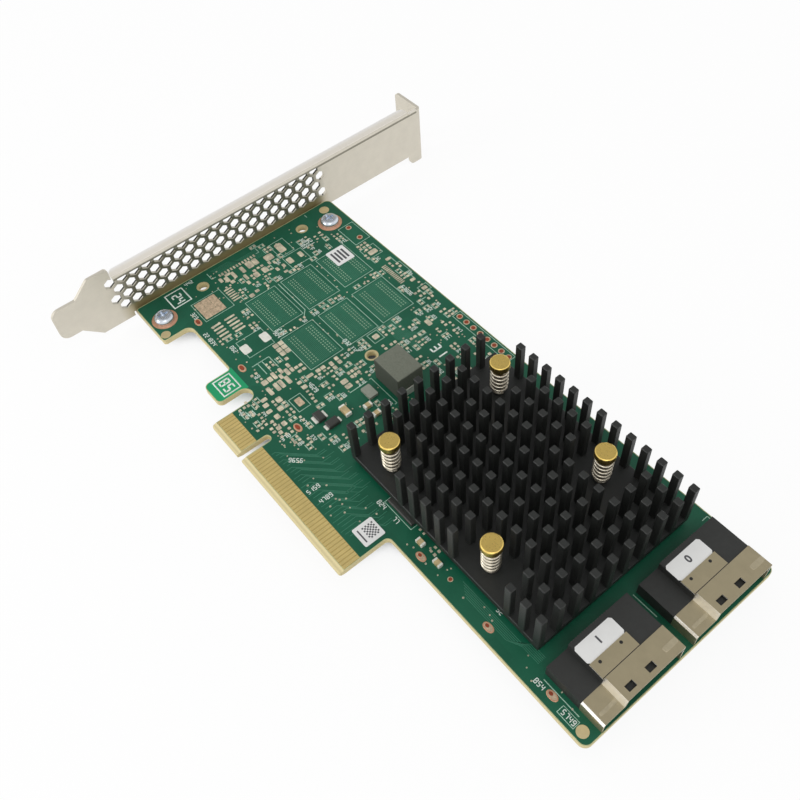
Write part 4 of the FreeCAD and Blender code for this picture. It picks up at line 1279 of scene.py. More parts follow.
    outline_paths: tuple[tuple[Point, ...], ...] = (
        ((2.3, 36.9), (2.3, 37.5), (12.4, 37.5), (12.4, 36.9)), ((2.4, 30.8), (2.4, 36.2)),
        ((-27.6, 67.4), (-24.4, 67.4), (-24.4, 68.2), (-19.2, 68.2), (-19.2, 67.2), (-16.4, 67.2)),
        ((-56.6, 41.6), (-53.9, 41.6), (-53.9, 40.6)), ((-56.6, 26.1), (-53.9, 26.1), (-53.9, 27.4)),
        ((-20.6, 22.4), (-16.2, 22.4)), ((-20.6, 20.2), (-16.2, 20.2)), ((-20.6, 18.9), (-16.2, 18.9)),
        ((-20.6, 17.3), (-20.6, 22.4)), ((-9.4, 62.6), (-9.4, 65.0)), ((83.0, 16.9), (92.4, 16.9)),
        ((82.3, 42.9), (88.6, 42.9)), ((80.4, 66.6), (80.4, 68.2), (81.2, 68.2)),
        ((-57.4, 59.8), (-56.2, 59.8)), ((-40.0, 38.6), (-27.4, 38.6), (-25.6, 37.0)),
    )
    memory_row_pitch: float = 0.4
    memory_row_inset: float = 0.5
    memory_row_spare: float = 0.8
    number_height: float = 1.05
    # Place, turn and count of figures
    number_lines: tuple[tuple[float, float, float, int], ...] = (
        (-57.0, 19.6, 90, 3), (-46.4, 15.4, 0, 3), (-38.0, 14.2, 0, 6), (-29.6, 17.0, 0, 3),
        (-26.2, 28.2, 0, 3), (-26.2, 29.6, 0, 3), (-10.6, 6.9, 45, 2), (-8.4, 7.8, 90, 3),
        (2.6, 10.6, 90, 3), (8.6, 8.6, 45, 4), (18.5, 6.8, 90, 4), (22.3, 7.6, 90, 4),
        (1.2, 17.4, 0, 3), (31.0, 17.3, 0, 3), (66.9, 20.0, 0, 2), (82.2, 15.6, 0, 3),
        (89.9, 15.3, 0, 4), (-6.4, 25.1, 0, 4), (-48.4, 52.2, 0, 3), (-48.4, 53.5, 0, 3),
        (-48.4, 54.8, 0, 3), (-16.4, 62.8, 0, 5), (-11.8, 40.0, 0, 3), (36.6, 17.2, 0, 2),
        (-6.8, 40.6, 90, 3),
    )
    tall_numbers: tuple[tuple[float, float, str, float], ...] = (
        (-55.0, 15.5, "24", 2.4), (-21.2, 9.4, "85", 2.6), (5.6, 55.6, "31", 2.6),
    )
    ring_height: float = 0.04
    plated_holes: tuple[Point, ...] = ((-53.25, 22.8), (-53.25, 55.95), (-3.36, 42.1))
    sighting_discs: tuple[Triple, ...] = ((-55.3, 65.3, 1.45), (-45.0, 6.35, 1.3), (94.7, 15.4, 1.3))
    test_lands: tuple[Point, ...] = (
        (-42.9, 15.0), (-22.0, 15.2), (2.3, 15.3), (47.4, 15.7), (68.3, 15.9), (86.3, 15.9),
    )
    test_land_size: Point = (2.8, 1.7)
    plug_size: Point = (1.12, 0.6)
    plug_level: float = BOARD_TOP + 0.04
    core_level: float = BOARD_TOP + 0.05
    large_cores: int = 3
    large_core: Pad = (-0.1, 0.0, 0.95, 0.52)
    small_core: Pad = (-0.45, 0.08, 0.5, 0.38)
    pin_row_start: Point = (1.8, 67.0)
    pin_row_pitch: float = 2.6
    pin_row_count: int = 8
    lone_pins: tuple[Triple, ...] = ((-44.5, 66.0, 1.0), (-39.3, 66.0, 1.0), (55.4, 17.0, 0.72))
    pin_hole_radius: float = 0.58
    pin_hole_level: float = BOARD_TOP + 0.035

    def coated_pads(self) -> list[Spot]:
        """List the pale coated pads that stand in a plan of their own.

        Returns:
            The pads' places.
        """
        spots = []
        for grid in self.pad_grids:
            spots += pad_grid(*grid)
        return spots + pad_spots(self.lone_pads)

    def copper_pads(self) -> list[Spot]:
        """Return the places of the large pads whose copper shows through their coat."""
        return pad_grid(*self.copper_grid) + pad_spots(self.lone_copper)

    def small_parts(self) -> SmallParts:
        """Fill the board's clusters between what stands on it already.

        Returns:
            The small parts.
        """
        taken = list(self.keep_clear + self.memory_boxes)
        for spot in self.coated_pads() + self.copper_pads():
            taken.append((spot.x - spot.length / 2, spot.x + spot.length / 2,
                          spot.y - spot.width / 2, spot.y + spot.width / 2))
        parts = SmallParts(taken, self.clusters, self.seed)
        parts.fill()
        parts.uncover(self.bare_place)
        return parts

    def vias(self) -> list[Spot]:
        """Scatter the small plated holes, the same at each run.

        Returns:
            The holes' places.
        """
        chance = random.Random(self.seed + 1)
        spots = []
        for x0, x1, y0, y1, count in self.via_zones:
            for _ in range(count):
                x = chance.uniform(x0, x1)
                y = chance.uniform(y0, y1)
                size = chance.uniform(*self.via_sizes)
                if not any(inside(x, y, box) for box in self.keep_clear + self.memory_boxes):
                    spots.append(Spot(x, y, length=size, width=size))
        return spots

    def ball_lands(self) -> list[Spot]:
        """List the lands under the memory parts that aren't fitted.

        Returns:
            The lands' places.
        """
        spots = []
        for x0, x1, y0, y1 in self.memory_boxes:
            for part in self.ball_blocks:
                middle = y0 + part * (y1 - y0)
                for i in range(self.ball_columns):
                    for j in range(self.ball_rows):
                        x = (x0 + x1) / 2 + (i - (self.ball_columns - 1) / 2) * self.ball_pitch
                        y = middle + (j - (self.ball_rows - 1) / 2) * self.ball_pitch
                        spots.append(Spot(x, y, length=self.ball_radius, width=self.ball_radius))
        return spots

    def legend(self) -> list[list[Point]]:
        """Draw the printed outlines.

        Returns:
            The outlines' paths.
        """
        paths = [box_path(*edges) for edges in self.memory_boxes + self.outline_boxes]
        return paths + [list(path) for path in self.outline_paths]

    def printed_numbers(self) -> list[Spot]:
        """Print the plain numbers that stand in a plan of their own, the same at each run.

        Returns:
            The places of their strokes.
        """
        chance = random.Random(self.seed + 2)
        spots = []
        for x, y, turn, count in self.number_lines:
            number = "".join(str(chance.randint(0, 9)) for _ in range(count))
            spots += printed_number(x, y, turn, number, self.number_height)
        for x, y, number, height in self.tall_numbers:
            spots += printed_number(x, y, 0, number, height)
        return spots

    def traces(self) -> list[list[Point]]:
        """Trace the tracks that show through the mask.

        Returns:
            The tracks' paths.
        """
        paths = TongueTracks().paths()
        for group in TRACK_GROUPS:
            paths += group.paths()
        for x0, x1, y0, y1 in self.memory_boxes:
            for i in range(int((y1 - y0 - self.memory_row_spare) / self.memory_row_pitch)):
                y = y0 + self.memory_row_inset + self.memory_row_pitch * i
                paths.append([(x0 + self.memory_row_inset, y), (x1 - self.memory_row_inset, y)])
        return paths

    def build_rim(self) -> None:
        """Lay the thin pale rim along the board's outline, a painted highlight of its lit cut edge where the
        mask leaves bare laminate.
        """
        shape = bmesh.new()
        shape.from_mesh(Workshop.cad["circuit_board"].data)
        bmesh.ops.remove_doubles(shape, verts=shape.verts[:], dist=self.merge_reach * MM)
        top = [face for face in shape.faces if face.normal.z > self.face_cosine]
        rim = bmesh.ops.inset_region(shape, faces=top, use_boundary=True, use_even_offset=True,
                                     thickness=self.rim_width * MM)["faces"]
        kept = set(rim)
        others = [face for face in shape.faces if face not in kept]
        bmesh.ops.delete(shape, geom=others, context="FACES")
        bmesh.ops.solidify(shape, geom=shape.faces[:], thickness=-self.rim_height * MM)
        mesh = bpy.data.meshes.new("board_rim")
        shape.to_mesh(mesh)
        shape.free()
        mesh.materials.append(Paint.RIM.material())
        Workshop.ready(Workshop.place("board_rim", mesh), "board")

    def build(self) -> None:
        """Dress the board and lay its thin detail."""
        Workshop.dress({"circuit_board": Paint.MASK})
        self.build_rim()
        parts = self.small_parts()
        pad = Shapes.tile(self.pad_height, corner=0.12, edge=0.03)
        Workshop.repeat("coated_pads", pad, self.coated_pads() + parts.pads, Paint.PAD, "gold_contact")
        pad = Shapes.tile(self.pad_height, corner=0.06, edge=0.015)
        Workshop.repeat("copper_pads", pad, self.copper_pads(), Paint.BLOOM, "gold_contact")
        pad = Shapes.tile(0.07, corner=0.16, edge=0.05, steps=2)
        Workshop.repeat("tinned_pads", pad, pad_spots(self.tinned_pads), Paint.TIN, "tin")
        ring = Shapes.washer(0.35, 1.0, self.via_height, sides=8)
        vias = both_faces(self.vias(), self.via_height)
        Workshop.repeat("via_lands", ring, vias, Paint.PAD, "gold_contact")
        land = Shapes.disc(0.02, 0.03, crown=0.86, sides=8)
        Workshop.repeat("memory_lands", land, self.ball_lands(), Paint.BALL_LAND, "gold_contact")
        Workshop.draw("board_legend", self.legend() + parts.outlines, self.legend_width, self.legend_height,
                      Paint.SILK, "sticker")
        frames = [box_path(*edges) for edges in self.frames]
        Workshop.draw("printed_frames", frames, self.frame_width, self.legend_height, Paint.PRINT, "sticker")
        mark = Shapes.tile(0.02, corner=0.06, edge=0.006)
        numbers = self.printed_numbers() + parts.numbers
        Workshop.repeat("printed_numbers", mark, numbers, Paint.PRINT, "sticker")
        Workshop.draw("mask_tracks", self.traces(), self.trace_width, self.trace_height, Paint.TRACE, "board")
        self.build_rings()
        self.build_test_lands()
        self.build_pin_rings()

    def build_rings(self) -> None:
        """Make the plated holes' rings, the gold sighting discs and the lands under the screws."""
        ring = Shapes.washer(1.27, 1.75, self.ring_height, sides=32)
        holes = both_faces([Spot(x, y) for x, y in self.plated_holes], self.ring_height)
        Workshop.repeat("hole_rings", ring, holes, Paint.RING_GOLD, "gold_contact")
        disc = Shapes.disc(0.03, 0.04, crown=0.95, sides=28)
        discs = [Spot(x, y, length=size, width=size) for x, y, size in self.sighting_discs]
        Workshop.repeat("sighting_discs", disc, discs, Paint.RING_GOLD, "gold_contact")
        land = Shapes.washer(1.72, 3.45, 0.05, sides=40)
        lands = [Spot(x, y) for x, y in SCREW_PLACES]
        Workshop.repeat("screw_lands", land, lands, Paint.COPPER, "gold_contact")

    def build_test_lands(self) -> None:
        """Make the long copper test lands with their filled holes."""
        length, width = self.test_land_size
        lands = [Spot(x, y, length=length, width=width) for x, y in self.test_lands]
        land = Shapes.tile(0.05, corner=0.45, edge=0.04, steps=5)
        Workshop.repeat("test_lands", land, lands, Paint.COPPER, "gold_contact")
        plugs = [Spot(x, y, self.plug_level, *self.plug_size) for x, y in self.test_lands]
        bead = Shapes.disc(0.015, 0.02, crown=0.8, sides=18)
        Workshop.repeat("test_land_plugs", bead, plugs, Paint.BLOOM, "gold_contact")
        cores = []
        for i, (x, y) in enumerate(self.test_lands):
            dx, dy, length, width = self.large_core if i < self.large_cores else self.small_core
            cores.append(Spot(x + dx, y + dy, self.core_level, length, width))
        bead = Shapes.disc(0.015, 0.02, crown=0.8, sides=18)
        Workshop.repeat("test_land_cores", bead, cores, Paint.RUST, "gold_contact")

    def build_pin_rings(self) -> None:
        """Make the rings of the empty pin holes, and discs of dark copper in painted shade that stand in for
        the holes.
        """
        x, y = self.pin_row_start
        pins = [Spot(x + self.pin_row_pitch * i, y) for i in range(self.pin_row_count)]
        pins += [Spot(x, y, length=size, width=size) for x, y, size in self.lone_pins]
        ring = Shapes.washer(0.42, 0.85, self.ring_height, sides=20)
        Workshop.repeat("pin_rings", ring, both_faces(pins, self.ring_height), Paint.BLOOM, "gold_contact")
        radius = self.pin_hole_radius
        holes = [
            Spot(pin.x, pin.y, self.pin_hole_level, radius * pin.length, radius * pin.width) for pin in pins
        ]
        hole = Shapes.disc(0.010, 0.012, crown=0.9, sides=16)
        Workshop.repeat("pin_holes", hole, holes, Paint.RUST, "gold_contact")


@dataclass
class CardEdge:
    """Contact tongue."""

    def build(self) -> None:
        """Dress the contact pads on both faces."""
        Workshop.dress({"edge_contacts_top": Paint.FINGER, "edge_contacts_bottom": Paint.FINGER})


@dataclass
class BracketSet:
    """Slot bracket and the screws that hold the board on its tabs."""

    shank_radius: float = 1.48
    tip: float = -2.24
    tip_chamfer: float = 0.3
    head_radius: float = 2.62
    head_height: float = 1.88
    head_side: float = 0.75
    dome_steps: int = 9
    dome_flat: float = 0.45
    crown_radius: float = 0.3
    recess_width: float = 0.72
    recess_length: float = 2.9
    recess_depth: float = 1.1
    overrun: float = 1.0

    def screw_pattern(self) -> bpy.types.Object:
        """Make one screw with a domed head and a cross recess.

        Returns:
            The screw, upright at the origin.
        """
        top = BOARD_TOP + self.head_height
        profile = [
            (self.shank_radius - self.tip_chamfer, self.tip),
            (self.shank_radius, self.tip + self.tip_chamfer),
            (self.shank_radius, BOARD_TOP), (self.head_radius, BOARD_TOP),
        ]
        dome = self.head_height - self.head_side
        for step in range(self.dome_steps):
            angle = math.pi / 2 * step / self.dome_steps
            share = self.dome_flat + (1 - self.dome_flat) * math.cos(angle)
            height = BOARD_TOP + self.head_side + dome * math.sin(angle)
            profile.append((self.head_radius * share, height))
        profile.append((self.crown_radius, top))
        body = Shapes.lathe(profile, sides=40)
        screw = Workshop.place("screw_pattern", Shapes.finish(body, "screw_pattern"))
        for upright in (False, True):
            length, width = lay(self.recess_length, self.recess_width, upright)
            depth = self.recess_depth + self.overrun
            tool = Shapes.slab(length, width, depth, corner=0.2, edge=0.1, steps=2)
            bmesh.ops.translate(tool, vec=(0, 0, top - self.recess_depth), verts=tool.verts)
            Workshop.carve(screw, tool)
        return screw

    def build(self) -> None:
        """Dress the bracket and fit the screws."""
        Workshop.dress({"bracket": Paint.NICKEL})
        spots = [Spot(x, y, 0.0) for x, y in SCREW_PLACES]
        Workshop.scatter("pan_head_screws", self.screw_pattern(), spots, Paint.SCREW, "screw_steel",
                         ["bracket_screws"])


@dataclass
class Cooler:
    """Pin-fin heat sink with its push pins, springs and the controller below it."""

    x0: float = 18.30
    x1: float = 78.55
    y0: float = 19.555
    y1: float = 63.86
    bottom: float = 2.285
    base_top: float = 3.885
    pin_top: float = 14.985
    columns: int = 15
    rows: int = 10
    pin_x: float = 1.8
    pin_y: float = 1.6
    fixing_x: float = 43.6
    fixing_y: float = 40.5
    fixing_half: float = 16.2
    room_x: float = 6.2
    room_y: float = 4.7
    corner_columns: int = 2
    corner_rows: int = 1
    eased: float = 0.12
    hole_radius: float = 1.3
    overrun: float = 1.0
    tip: float = -3.235
    barb: float = -0.835
    under_head: float = 12.635
    head_top: float = 14.385
    head_radius: float = 2.4
    shank_radius: float = 0.9
    barb_radius: float = 1.72
    barb_eased: float = 0.1
    split: float = 0.45
    split_length: float = 4.0
    spring_gap: float = 0.02
    coil_turns: float = 6.0
    wire: float = 0.38
    foot_radius: float = 1.42
    coil_radius: float = 1.84

    def fixings(self) -> list[Point]:
        """Places of the four push pins."""
        half = self.fixing_half
        return [(self.fixing_x + dx, self.fixing_y + dy) for dx in (-half, half) for dy in (-half, half)]

    def build_sink(self) -> None:
        """Make the base and stand the fin pins on it."""
        length = self.x1 - self.x0
        width = self.y1 - self.y0
        middle = Vector(((self.x0 + self.x1) / 2, (self.y0 + self.y1) / 2, 0))
        slab = Shapes.slab(length, width, self.base_top - self.bottom, corner=0.25, edge=self.eased, steps=2)
        bmesh.ops.translate(slab, vec=middle + Vector((0, 0, self.bottom)), verts=slab.verts)
        sink = Workshop.place("pin_fin_sink", Shapes.finish(slab, "pin_fin_sink"))
        hole = [(self.hole_radius, z) for z in (self.bottom - self.overrun, self.base_top + self.overrun)]
        for x, y in self.fixings():
            drill = Shapes.lathe(hole, sides=24)
            bmesh.ops.translate(drill, vec=(x, y, 0), verts=drill.verts)
            Workshop.carve(sink, drill)
        height = self.pin_top - self.base_top
        fin = Shapes.slab(self.pin_x, self.pin_y, height, corner=0.14, edge=self.eased, steps=1)
        pin = Workshop.place("fin_pin", Shapes.finish(fin, "fin_pin"))
        pitch_x = (length - self.pin_x) / (self.columns - 1)
        pitch_y = (width - self.pin_y) / (self.rows - 1)
        corner_x = self.x0 + self.pin_x / 2 + (self.corner_columns - 0.5) * pitch_x
        corner_y = self.y1 - self.pin_y / 2 - (self.corner_rows - 0.5) * pitch_y
        Workshop.grow(sink, Trees.fins(), {
            "Pin": pin, "Columns": self.columns, "Rows": self.rows,
            "Length": (length - self.pin_x) * MM, "Width": (width - self.pin_y) * MM,
            "Middle": (middle.x * MM, middle.y * MM, self.base_top * MM),
            "Fixing Middle": (self.fixing_x * MM, self.fixing_y * MM, 0.0),
            "Fixing Half": self.fixing_half * MM, "Room X": self.room_x * MM, "Room Y": self.room_y * MM,
            "Corner X": corner_x * MM, "Corner Y": corner_y * MM, "Material": Paint.SINK.material()})
        bpy.data.objects.remove(pin)
        Workshop.ready(sink, "sink_black", ["heat_sink"])

    def build_push_pins(self) -> None:
        """Turn one brass push pin with a split barb and repeat it."""
        head = self.head_radius
        top = self.head_top
        profile = [
            (0.55, self.tip), (0.75, self.tip + self.eased), (self.barb_radius, self.barb - self.barb_eased),
            (self.barb_radius - self.barb_eased, self.barb), (self.shank_radius, self.barb),
            (self.shank_radius, self.under_head), (head - self.eased, self.under_head),
            (head, self.under_head + self.eased), (head, top - 0.32), (head - 0.08, top - 0.12),
            (head - 0.26, top - 0.01), (head - 0.4, top), (0.9, top), (0.2, top),
        ]
        body = Shapes.lathe(profile, sides=40)
        pattern = Workshop.place("push_pin", Shapes.finish(body, "push_pin"))
        depth = self.barb - self.tip + self.overrun
        split = Shapes.slab(self.split, self.split_length, depth, corner=0.02, edge=0.01, steps=1)
        bmesh.ops.translate(split, vec=(0, 0, self.tip - self.overrun), verts=split.verts)
        Workshop.carve(pattern, split)
        radius = pattern.data.attributes.new("radius", "FLOAT", "POINT")
        for i, vertex in enumerate(pattern.data.vertices):
            radius.data[i].value = vertex.co.xy.length / MM
        spots = [Spot(x, y, 0.0) for x, y in self.fixings()]
        Workshop.scatter("brass_push_pins", pattern, spots, Paint.BRASS, "pin_brass", ["push_pins"])

    def build_springs(self) -> None:
        """Wind the springs between the sink's base and the push pins' heads."""
        foot = self.base_top + self.wire + self.spring_gap
        rise = self.under_head - self.wire - self.spring_gap - foot
        points = bpy.data.meshes.new("coil_springs")
        points.from_pydata([(x * MM, y * MM, foot * MM) for x, y in self.fixings()], [], [])
        springs = Workshop.grow(Workshop.place("coil_springs", points), Trees.coil(), {
            "Turns": self.coil_turns, "Foot Radius": self.foot_radius * MM,
            "Head Radius": self.coil_radius * MM, "Rise": rise * MM, "Wire": self.wire * MM,
            "Material": Paint.SPRING.material()})
        springs.data.shade_smooth()
        Workshop.ready(springs, "spring_steel", ["push_pin_springs"])

    def build(self) -> None:
        """Make the cooler's pieces."""
        Workshop.dress({
            "controller_package": Paint.PACKAGE, "controller_lid": Paint.LID, "thermal_pad": Paint.GREY_PAD})
        self.build_sink()
        self.build_push_pins()
        self.build_springs()


@dataclass
class CablePort:
    """One right-angle cable port with its shell, housing and numbered sticker."""

    number: int
    low: float
    roof: float = 6.785
    shelf: float = 4.485
    rear_top: float = 6.485
    label_top: float = 6.585
    # Places below are along X, and along Y from the port's low side
    dents: tuple[Point, ...] = ((88.6, 13.4), (88.65, 7.6))
    roof_stripe: Pad = (94.9, 20.0, 1.2, 3.6)
    shelf_stripe: Pad = (95.15, 3.4, 0.8, 4.8)
    crease_x: float = 91.25
    crease_from: float = 5.6
    crease_to: float = 15.7
    crease_width: float = 0.16
    crease_height: float = 0.02
    slots_start: Point = (82.35, 6.4)
    slot_pitch: float = 0.6
    slot_count: int = 17
    slot_size: Point = (0.22, 0.26)
    numeral_at: Point = (85.5, 10.65)
    numeral_size: float = 2.3
    ink_height: float = 0.004
    ink_spread: float = 0.09

    def build(self) -> None:
        """Dress the port's solids and add its small forms."""
        key = f"port_{self.number}_"
        Workshop.dress({
            key + "housing": Paint.HOUSING, key + "shell": Paint.SHELL, key + "contacts": Paint.FINGER,
            key + "label": Paint.FILM})
        # Dark discs of painted shade stand in the roof's dimples
        dents = [Spot(x, self.low + y, self.roof) for x, y in self.dents]
        dent_shade = Shapes.disc(0.015, 0.02, crown=0.30, sides=16, radius=0.36)
        Workshop.repeat(key + "dents", dent_shade, dents, Paint.SHADE, "port_shell")
        self.build_ribs(key)
        self.build_numeral(key)

    def build_ribs(self, key: str) -> None:
        """Add the shell's raised stripes, a line of painted shade along its crease, and the housing's rear
        slots.

        Args:
            key: the start of the pieces' names.
        """
        stripes = []
        for (x, y, length, width), level in ((self.roof_stripe, self.roof), (self.shelf_stripe, self.shelf)):
            stripes.append(Spot(x, self.low + y, level, length, width))
        stripe = Shapes.tile(0.03, corner=0.2, edge=0.028, steps=3)
        Workshop.repeat(key + "stripes", stripe, stripes, Paint.PRESSED, "port_shell")
        # The crease is a dark line of painted shade
        crease = [(self.crease_x, self.low + y) for y in (self.crease_from, self.crease_to)]
        Workshop.draw(key + "crease", [crease], self.crease_width, self.crease_height, Paint.SHADE,
                      "port_shell", self.roof)
        x, y = self.slots_start
        slots = []
        for i in range(self.slot_count):
            slots.append(Spot(x, self.low + y + self.slot_pitch * i, self.rear_top, *self.slot_size))
        slot = Shapes.tile(0.03, corner=0.1, edge=0.01)
        Workshop.repeat(key + "rear_slots", slot, slots, Paint.CHIP, "port_black")

    def build_numeral(self, key: str) -> None:
        """Print the port's plain number on its sticker.

        Args:
            key: the start of the piece's name.
        """
        text = bpy.data.curves.new(key + "numeral", "FONT")
        text.body = str(self.number)
        text.size = self.numeral_size * MM
        text.extrude = self.ink_height * MM
        text.offset = self.ink_spread * MM
        text.align_x = "CENTER"
        text.align_y = "CENTER"
        numeral = bpy.data.objects.new(key + "numeral", text)
        bpy.context.scene.collection.objects.link(numeral)
        mesh = Workshop.baked(numeral)
        bpy.data.objects.remove(numeral)
        x, y = self.numeral_at
        place = Matrix.Translation(Vector((x, self.low + y, self.label_top + self.ink_height)) * MM)
        mesh.transform(place @ Matrix.Rotation(math.pi / 2, 4, "Z"))
        mesh.materials.clear()
        mesh.materials.append(Paint.INK.material())
        Workshop.ready(Workshop.place(key + "numeral", mesh), "sticker")


@dataclass
class PowerStage:
    """Inductor, regulator, diodes, memory chip and chip capacitors."""

    # Middle, length and width of each capacitor, and whether it runs along Y
    capacitors: tuple[tuple[float, float, float, float, bool], ...] = (
        (6.2, 26.6, 3.2, 1.6, False), (8.6, 31.6, 2.0, 1.25, True), (11.8, 31.8, 2.0, 1.25, True),
        (44.9, 17.7, 2.0, 1.25, False), (51.0, 17.3, 2.0, 1.25, False),
    )
    capacitor_top: float = 0.9
    end_length: float = 0.5
    end_inset: float = 0.18
    end_wider: float = 0.06
    end_taller: float = 0.03
    # Middle, length, width and height of each lead
    leads: tuple[tuple[float, float, float, float, float], ...] = (
        (3.4, 19.55, 2.2, 0.9, 0.35), (3.4, 22.25, 2.2, 0.9, 0.35),
        (7.0, 20.35, 1.5, 0.8, 0.3), (7.0, 24.05, 1.5, 0.8, 0.3),
    )

    def capacitor_ends(self) -> list[Spot]:
        """List the tinned ends of the chip capacitors.

        Returns:
            The ends' places.
        """
        ends = []
        height = self.capacitor_top + self.end_taller
        for x, y, length, width, upright in self.capacitors:
            for side in (-1, 1):
                dx, dy = lay(side * (length / 2 - self.end_inset), 0.0, upright)
                ends.append(Spot(x + dx, y + dy, length=self.end_length, width=width + self.end_wider,
                                 height=height, turn=90 if upright else 0))
        return ends

    def build(self) -> None:
        """Dress the solids and add their tinned ends and leads."""
        Workshop.dress({
            "power_inductor": Paint.INDUCTOR, "inductor_terminals": Paint.TIN,
            "voltage_regulator": Paint.REGULATOR, "diodes": Paint.CHIP, "memory_chip": Paint.CHIP,
            "ceramic_capacitors": Paint.CERAMIC, "underside_capacitors": Paint.CERAMIC})
        end = Shapes.tile(1.0, corner=0.1, edge=0.06, steps=2)
        Workshop.repeat("capacitor_ends", end, self.capacitor_ends(), Paint.TIN, "tin")
        lead = Shapes.tile(1.0, corner=0.1, edge=0.2, steps=2)
        leads = [Spot(x, y, BOARD_TOP, *size) for x, y, *size in self.leads]
        Workshop.repeat("diode_leads", lead, leads, Paint.TIN, "tin")


@dataclass
class Stickers:
    """White stickers on the board, with plain printed bars."""

    top: float = 0.885
    heading: Pad = (35.35, 9.1, 3.6, 0.35)
    dots_start: Point = (33.9, 10.3)
    dot_pitch: float = 0.42
    dot_columns: int = 8
    dot_rows: int = 7
    dot_size: Point = (0.42, 0.41)
    lines_start: Point = (-37.2, 55.9)
    line_pitch: float = 1.1
    line_count: int = 4
    line_length: float = 4.4
    line_shorter: float = 0.5
    line_width: float = 0.62

    def bars(self) -> list[Spot]:
        """List the bars and dots that stand for print.

        Returns:
            Their places.
        """
        x, y, length, width = self.heading
        bars = [Spot(x, y, self.top, length, width)]
        x, y = self.dots_start
        for i in range(self.dot_columns):
            for j in range(self.dot_rows):
                if (i + j) % 2 == 0:
                    at = (x + self.dot_pitch * i, y + self.dot_pitch * j, self.top)
                    bars.append(Spot(*at, *self.dot_size))
        x, y = self.lines_start
        for i in range(self.line_count):
            length = self.line_length - self.line_shorter * (i % 2)
            bars.append(Spot(x, y + self.line_pitch * i, self.top, length, self.line_width))
        return bars

    def build(self) -> None:
        """Dress the stickers and print their bars."""
        Workshop.dress({"edge_label": Paint.FILM, "board_sticker": Paint.FILM})
        bar = Shapes.tile(0.006, corner=0.08, edge=0.002)
        Workshop.repeat("sticker_bars", bar, self.bars(), Paint.INK, "sticker")


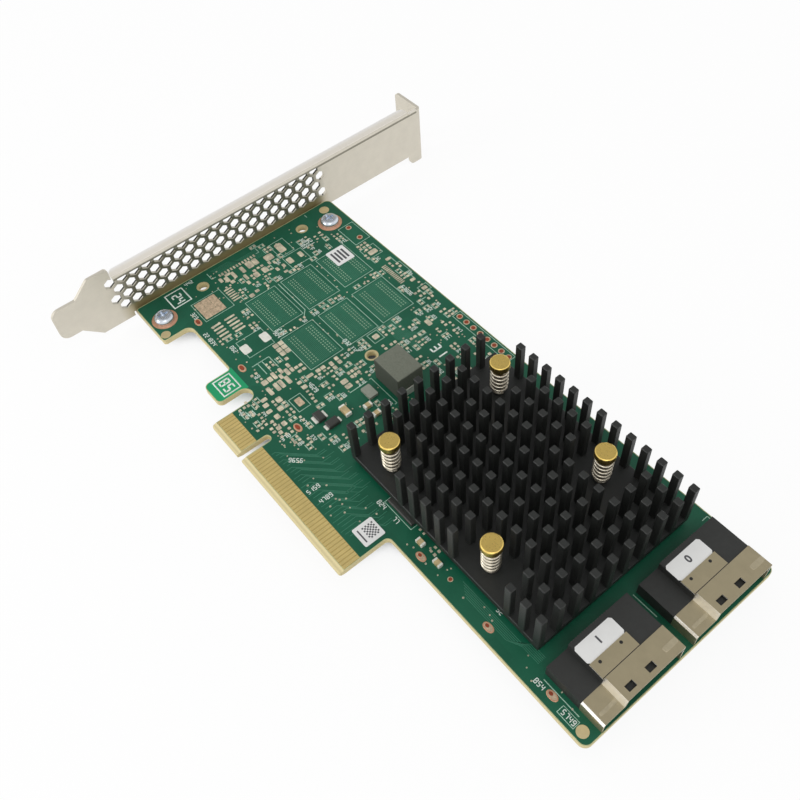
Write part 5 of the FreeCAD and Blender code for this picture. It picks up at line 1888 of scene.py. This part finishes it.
@dataclass
class Studio:
    """Pale floor, soft lamps and the camera."""

    floor_level: float = -4.75
    floor_half: float = 1500.0
    floor_tone: float = 0.9
    shadow_share: float = 0.10
    shade_reach: float = 40.0
    shade_samples: int = 12
    shade_range: Point = (0.08, 0.26)
    eye: Triple = (117.75, -33.44, 172.615)
    right: Triple = (0.6306, 0.7735, -0.0630)
    up: Triple = (-0.5996, 0.5371, 0.5933)
    ahead: Triple = (-0.4928, 0.3364, -0.8025)
    lens: float = 39.96
    sensor: float = 36.0
    nearest: float = 5.0
    ambient: float = 0.84
    ceiling: float = 0.45
    ceiling_towards: Triple = (-0.42, 0.33, 0.845)
    ceiling_range: Point = (0.62, 0.92)
    lamp_aim: Triple = (15.0, 40.0, 0.0)
    # Name, place, size and power of each lamp
    lamps: tuple[tuple[str, Triple, float, float], ...] = (
        ("front", (320.0, -185.0, 527.0), 300.0, 0.4),
        ("side", (-204.0, -443.0, 235.0), 230.0, 0.7),
    )

    def mirrored(self, wiring: Wiring) -> bpy.types.NodeSocket:
        """Return 1 for rays from mirrors and glass."""
        path = wiring.add("ShaderNodeLightPath").outputs
        return wiring.math("MAXIMUM", path["Is Glossy Ray"], path["Is Transmission Ray"])

    def seen(self, wiring: Wiring) -> bpy.types.NodeSocket:
        """Return 1 for rays from the camera, mirrors and glass."""
        path = wiring.add("ShaderNodeLightPath").outputs
        return wiring.math("MAXIMUM", path["Is Camera Ray"], self.mirrored(wiring))

    def build_floor(self) -> None:
        """Lay the pale floor, which keeps a faint shadow."""
        half = self.floor_half
        shape = bmesh.new()
        outline = box_path(-half, half, -half, half)[:-1]
        shape.faces.new([shape.verts.new((x, y, self.floor_level)) for x, y in outline])
        floor = Workshop.place("floor", Shapes.finish(shape, "floor"))
        material = bpy.data.materials.new("pale_floor")
        material.use_nodes = True
        wiring = Wiring(material.node_tree)
        wiring.tree.nodes.clear()
        output = wiring.add("ShaderNodeOutputMaterial")
        grey = self.floor_tone
        matt = wiring.add("ShaderNodeBsdfDiffuse", {"Color": (grey, grey, grey, 1.0)})
        glow = wiring.add("ShaderNodeEmission", {"Color": (1.0, 1.0, 1.0, 1.0), "Strength": 1.0})
        reach = {"Distance": self.shade_reach * MM}
        open_sky = wiring.add("ShaderNodeAmbientOcclusion", reach, samples=self.shade_samples).outputs["AO"]
        deep, bright = self.shade_range
        clear = wiring.add("ShaderNodeMapRange", {"Value": open_sky, 1: deep, 2: bright}).outputs[0]
        share = wiring.math("MULTIPLY", self.seen(wiring), 1.0 - self.shadow_share)
        share = wiring.math("MULTIPLY", share, clear)
        both = wiring.add("ShaderNodeMixShader", {0: share, 1: matt.outputs[0], 2: glow.outputs[0]})
        wiring.tree.links.new(both.outputs[0], output.inputs["Surface"])
        floor.data.materials.append(material)

    def build_light(self) -> None:
        """Set the world and the lamps."""
        world = bpy.data.worlds.new("studio")
        world.use_nodes = True
        bpy.context.scene.world = world
        wiring = Wiring(world.node_tree)
        backdrop = world.node_tree.nodes["Background"]
        strength = wiring.add("ShaderNodeMapRange", {"Value": self.seen(wiring), 3: self.ambient, 4: 1.0})
        towards = wiring.add("ShaderNodeTexCoord").outputs["Generated"]
        above = wiring.add("ShaderNodeVectorMath", {0: towards, 1: self.ceiling_towards},
                           operation="DOT_PRODUCT")
        rim, core = self.ceiling_range
        dim = wiring.add("ShaderNodeMapRange", {
            "Value": above.outputs["Value"], 1: rim, 2: core, 3: 1.0, 4: self.ceiling},
            interpolation_type="SMOOTHSTEP")
        dimmed = wiring.add("ShaderNodeMapRange", {"Value": self.mirrored(wiring), 3: 1.0, 4: dim.outputs[0]})
        level = wiring.math("MULTIPLY", strength.outputs[0], dimmed.outputs[0])
        backdrop.inputs["Color"].default_value = (1.0, 1.0, 1.0, 1.0)
        wiring.tree.links.new(level, backdrop.inputs["Strength"])
        for name, place, size, power in self.lamps:
            lamp = bpy.data.lights.new(name, "AREA")
            lamp.size = size * MM
            lamp.energy = power
            thing = bpy.data.objects.new(name, lamp)
            thing.location = Vector(place) * MM
            aim = Vector(self.lamp_aim) - Vector(place)
            thing.rotation_euler = aim.to_track_quat("-Z", "Y").to_euler()
            bpy.context.scene.collection.objects.link(thing)

    def build_camera(self) -> None:
        """Stand the camera at the photograph's angle."""
        lens = bpy.data.cameras.new("camera")
        lens.sensor_width = self.sensor
        lens.lens = self.lens
        lens.clip_start = self.nearest * MM
        camera = bpy.data.objects.new("camera", lens)
        columns = [Vector(self.right), Vector(self.up), -Vector(self.ahead)]
        turn = Matrix(columns).transposed().to_4x4()
        camera.matrix_world = Matrix.Translation(Vector(self.eye) * MM) @ turn
        bpy.context.scene.collection.objects.link(camera)
        bpy.context.scene.camera = camera

    def build(self) -> None:
        """Set the stage."""
        bpy.context.scene.view_settings.view_transform = "Standard"
        self.build_floor()
        self.build_light()
        self.build_camera()


def main() -> None:
    """Build the card's looks in order."""
    logging.basicConfig(level=logging.INFO, format="%(message)s")
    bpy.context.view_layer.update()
    for part in (BoardFace(), CardEdge(), BracketSet(), Cooler(), CablePort(0, 43.75), CablePort(1, 17.90),
                 PowerStage(), Stickers(), Studio()):
        log.info("building %s", type(part).__name__)
        part.build()


if __name__ == "__main__":
    main()
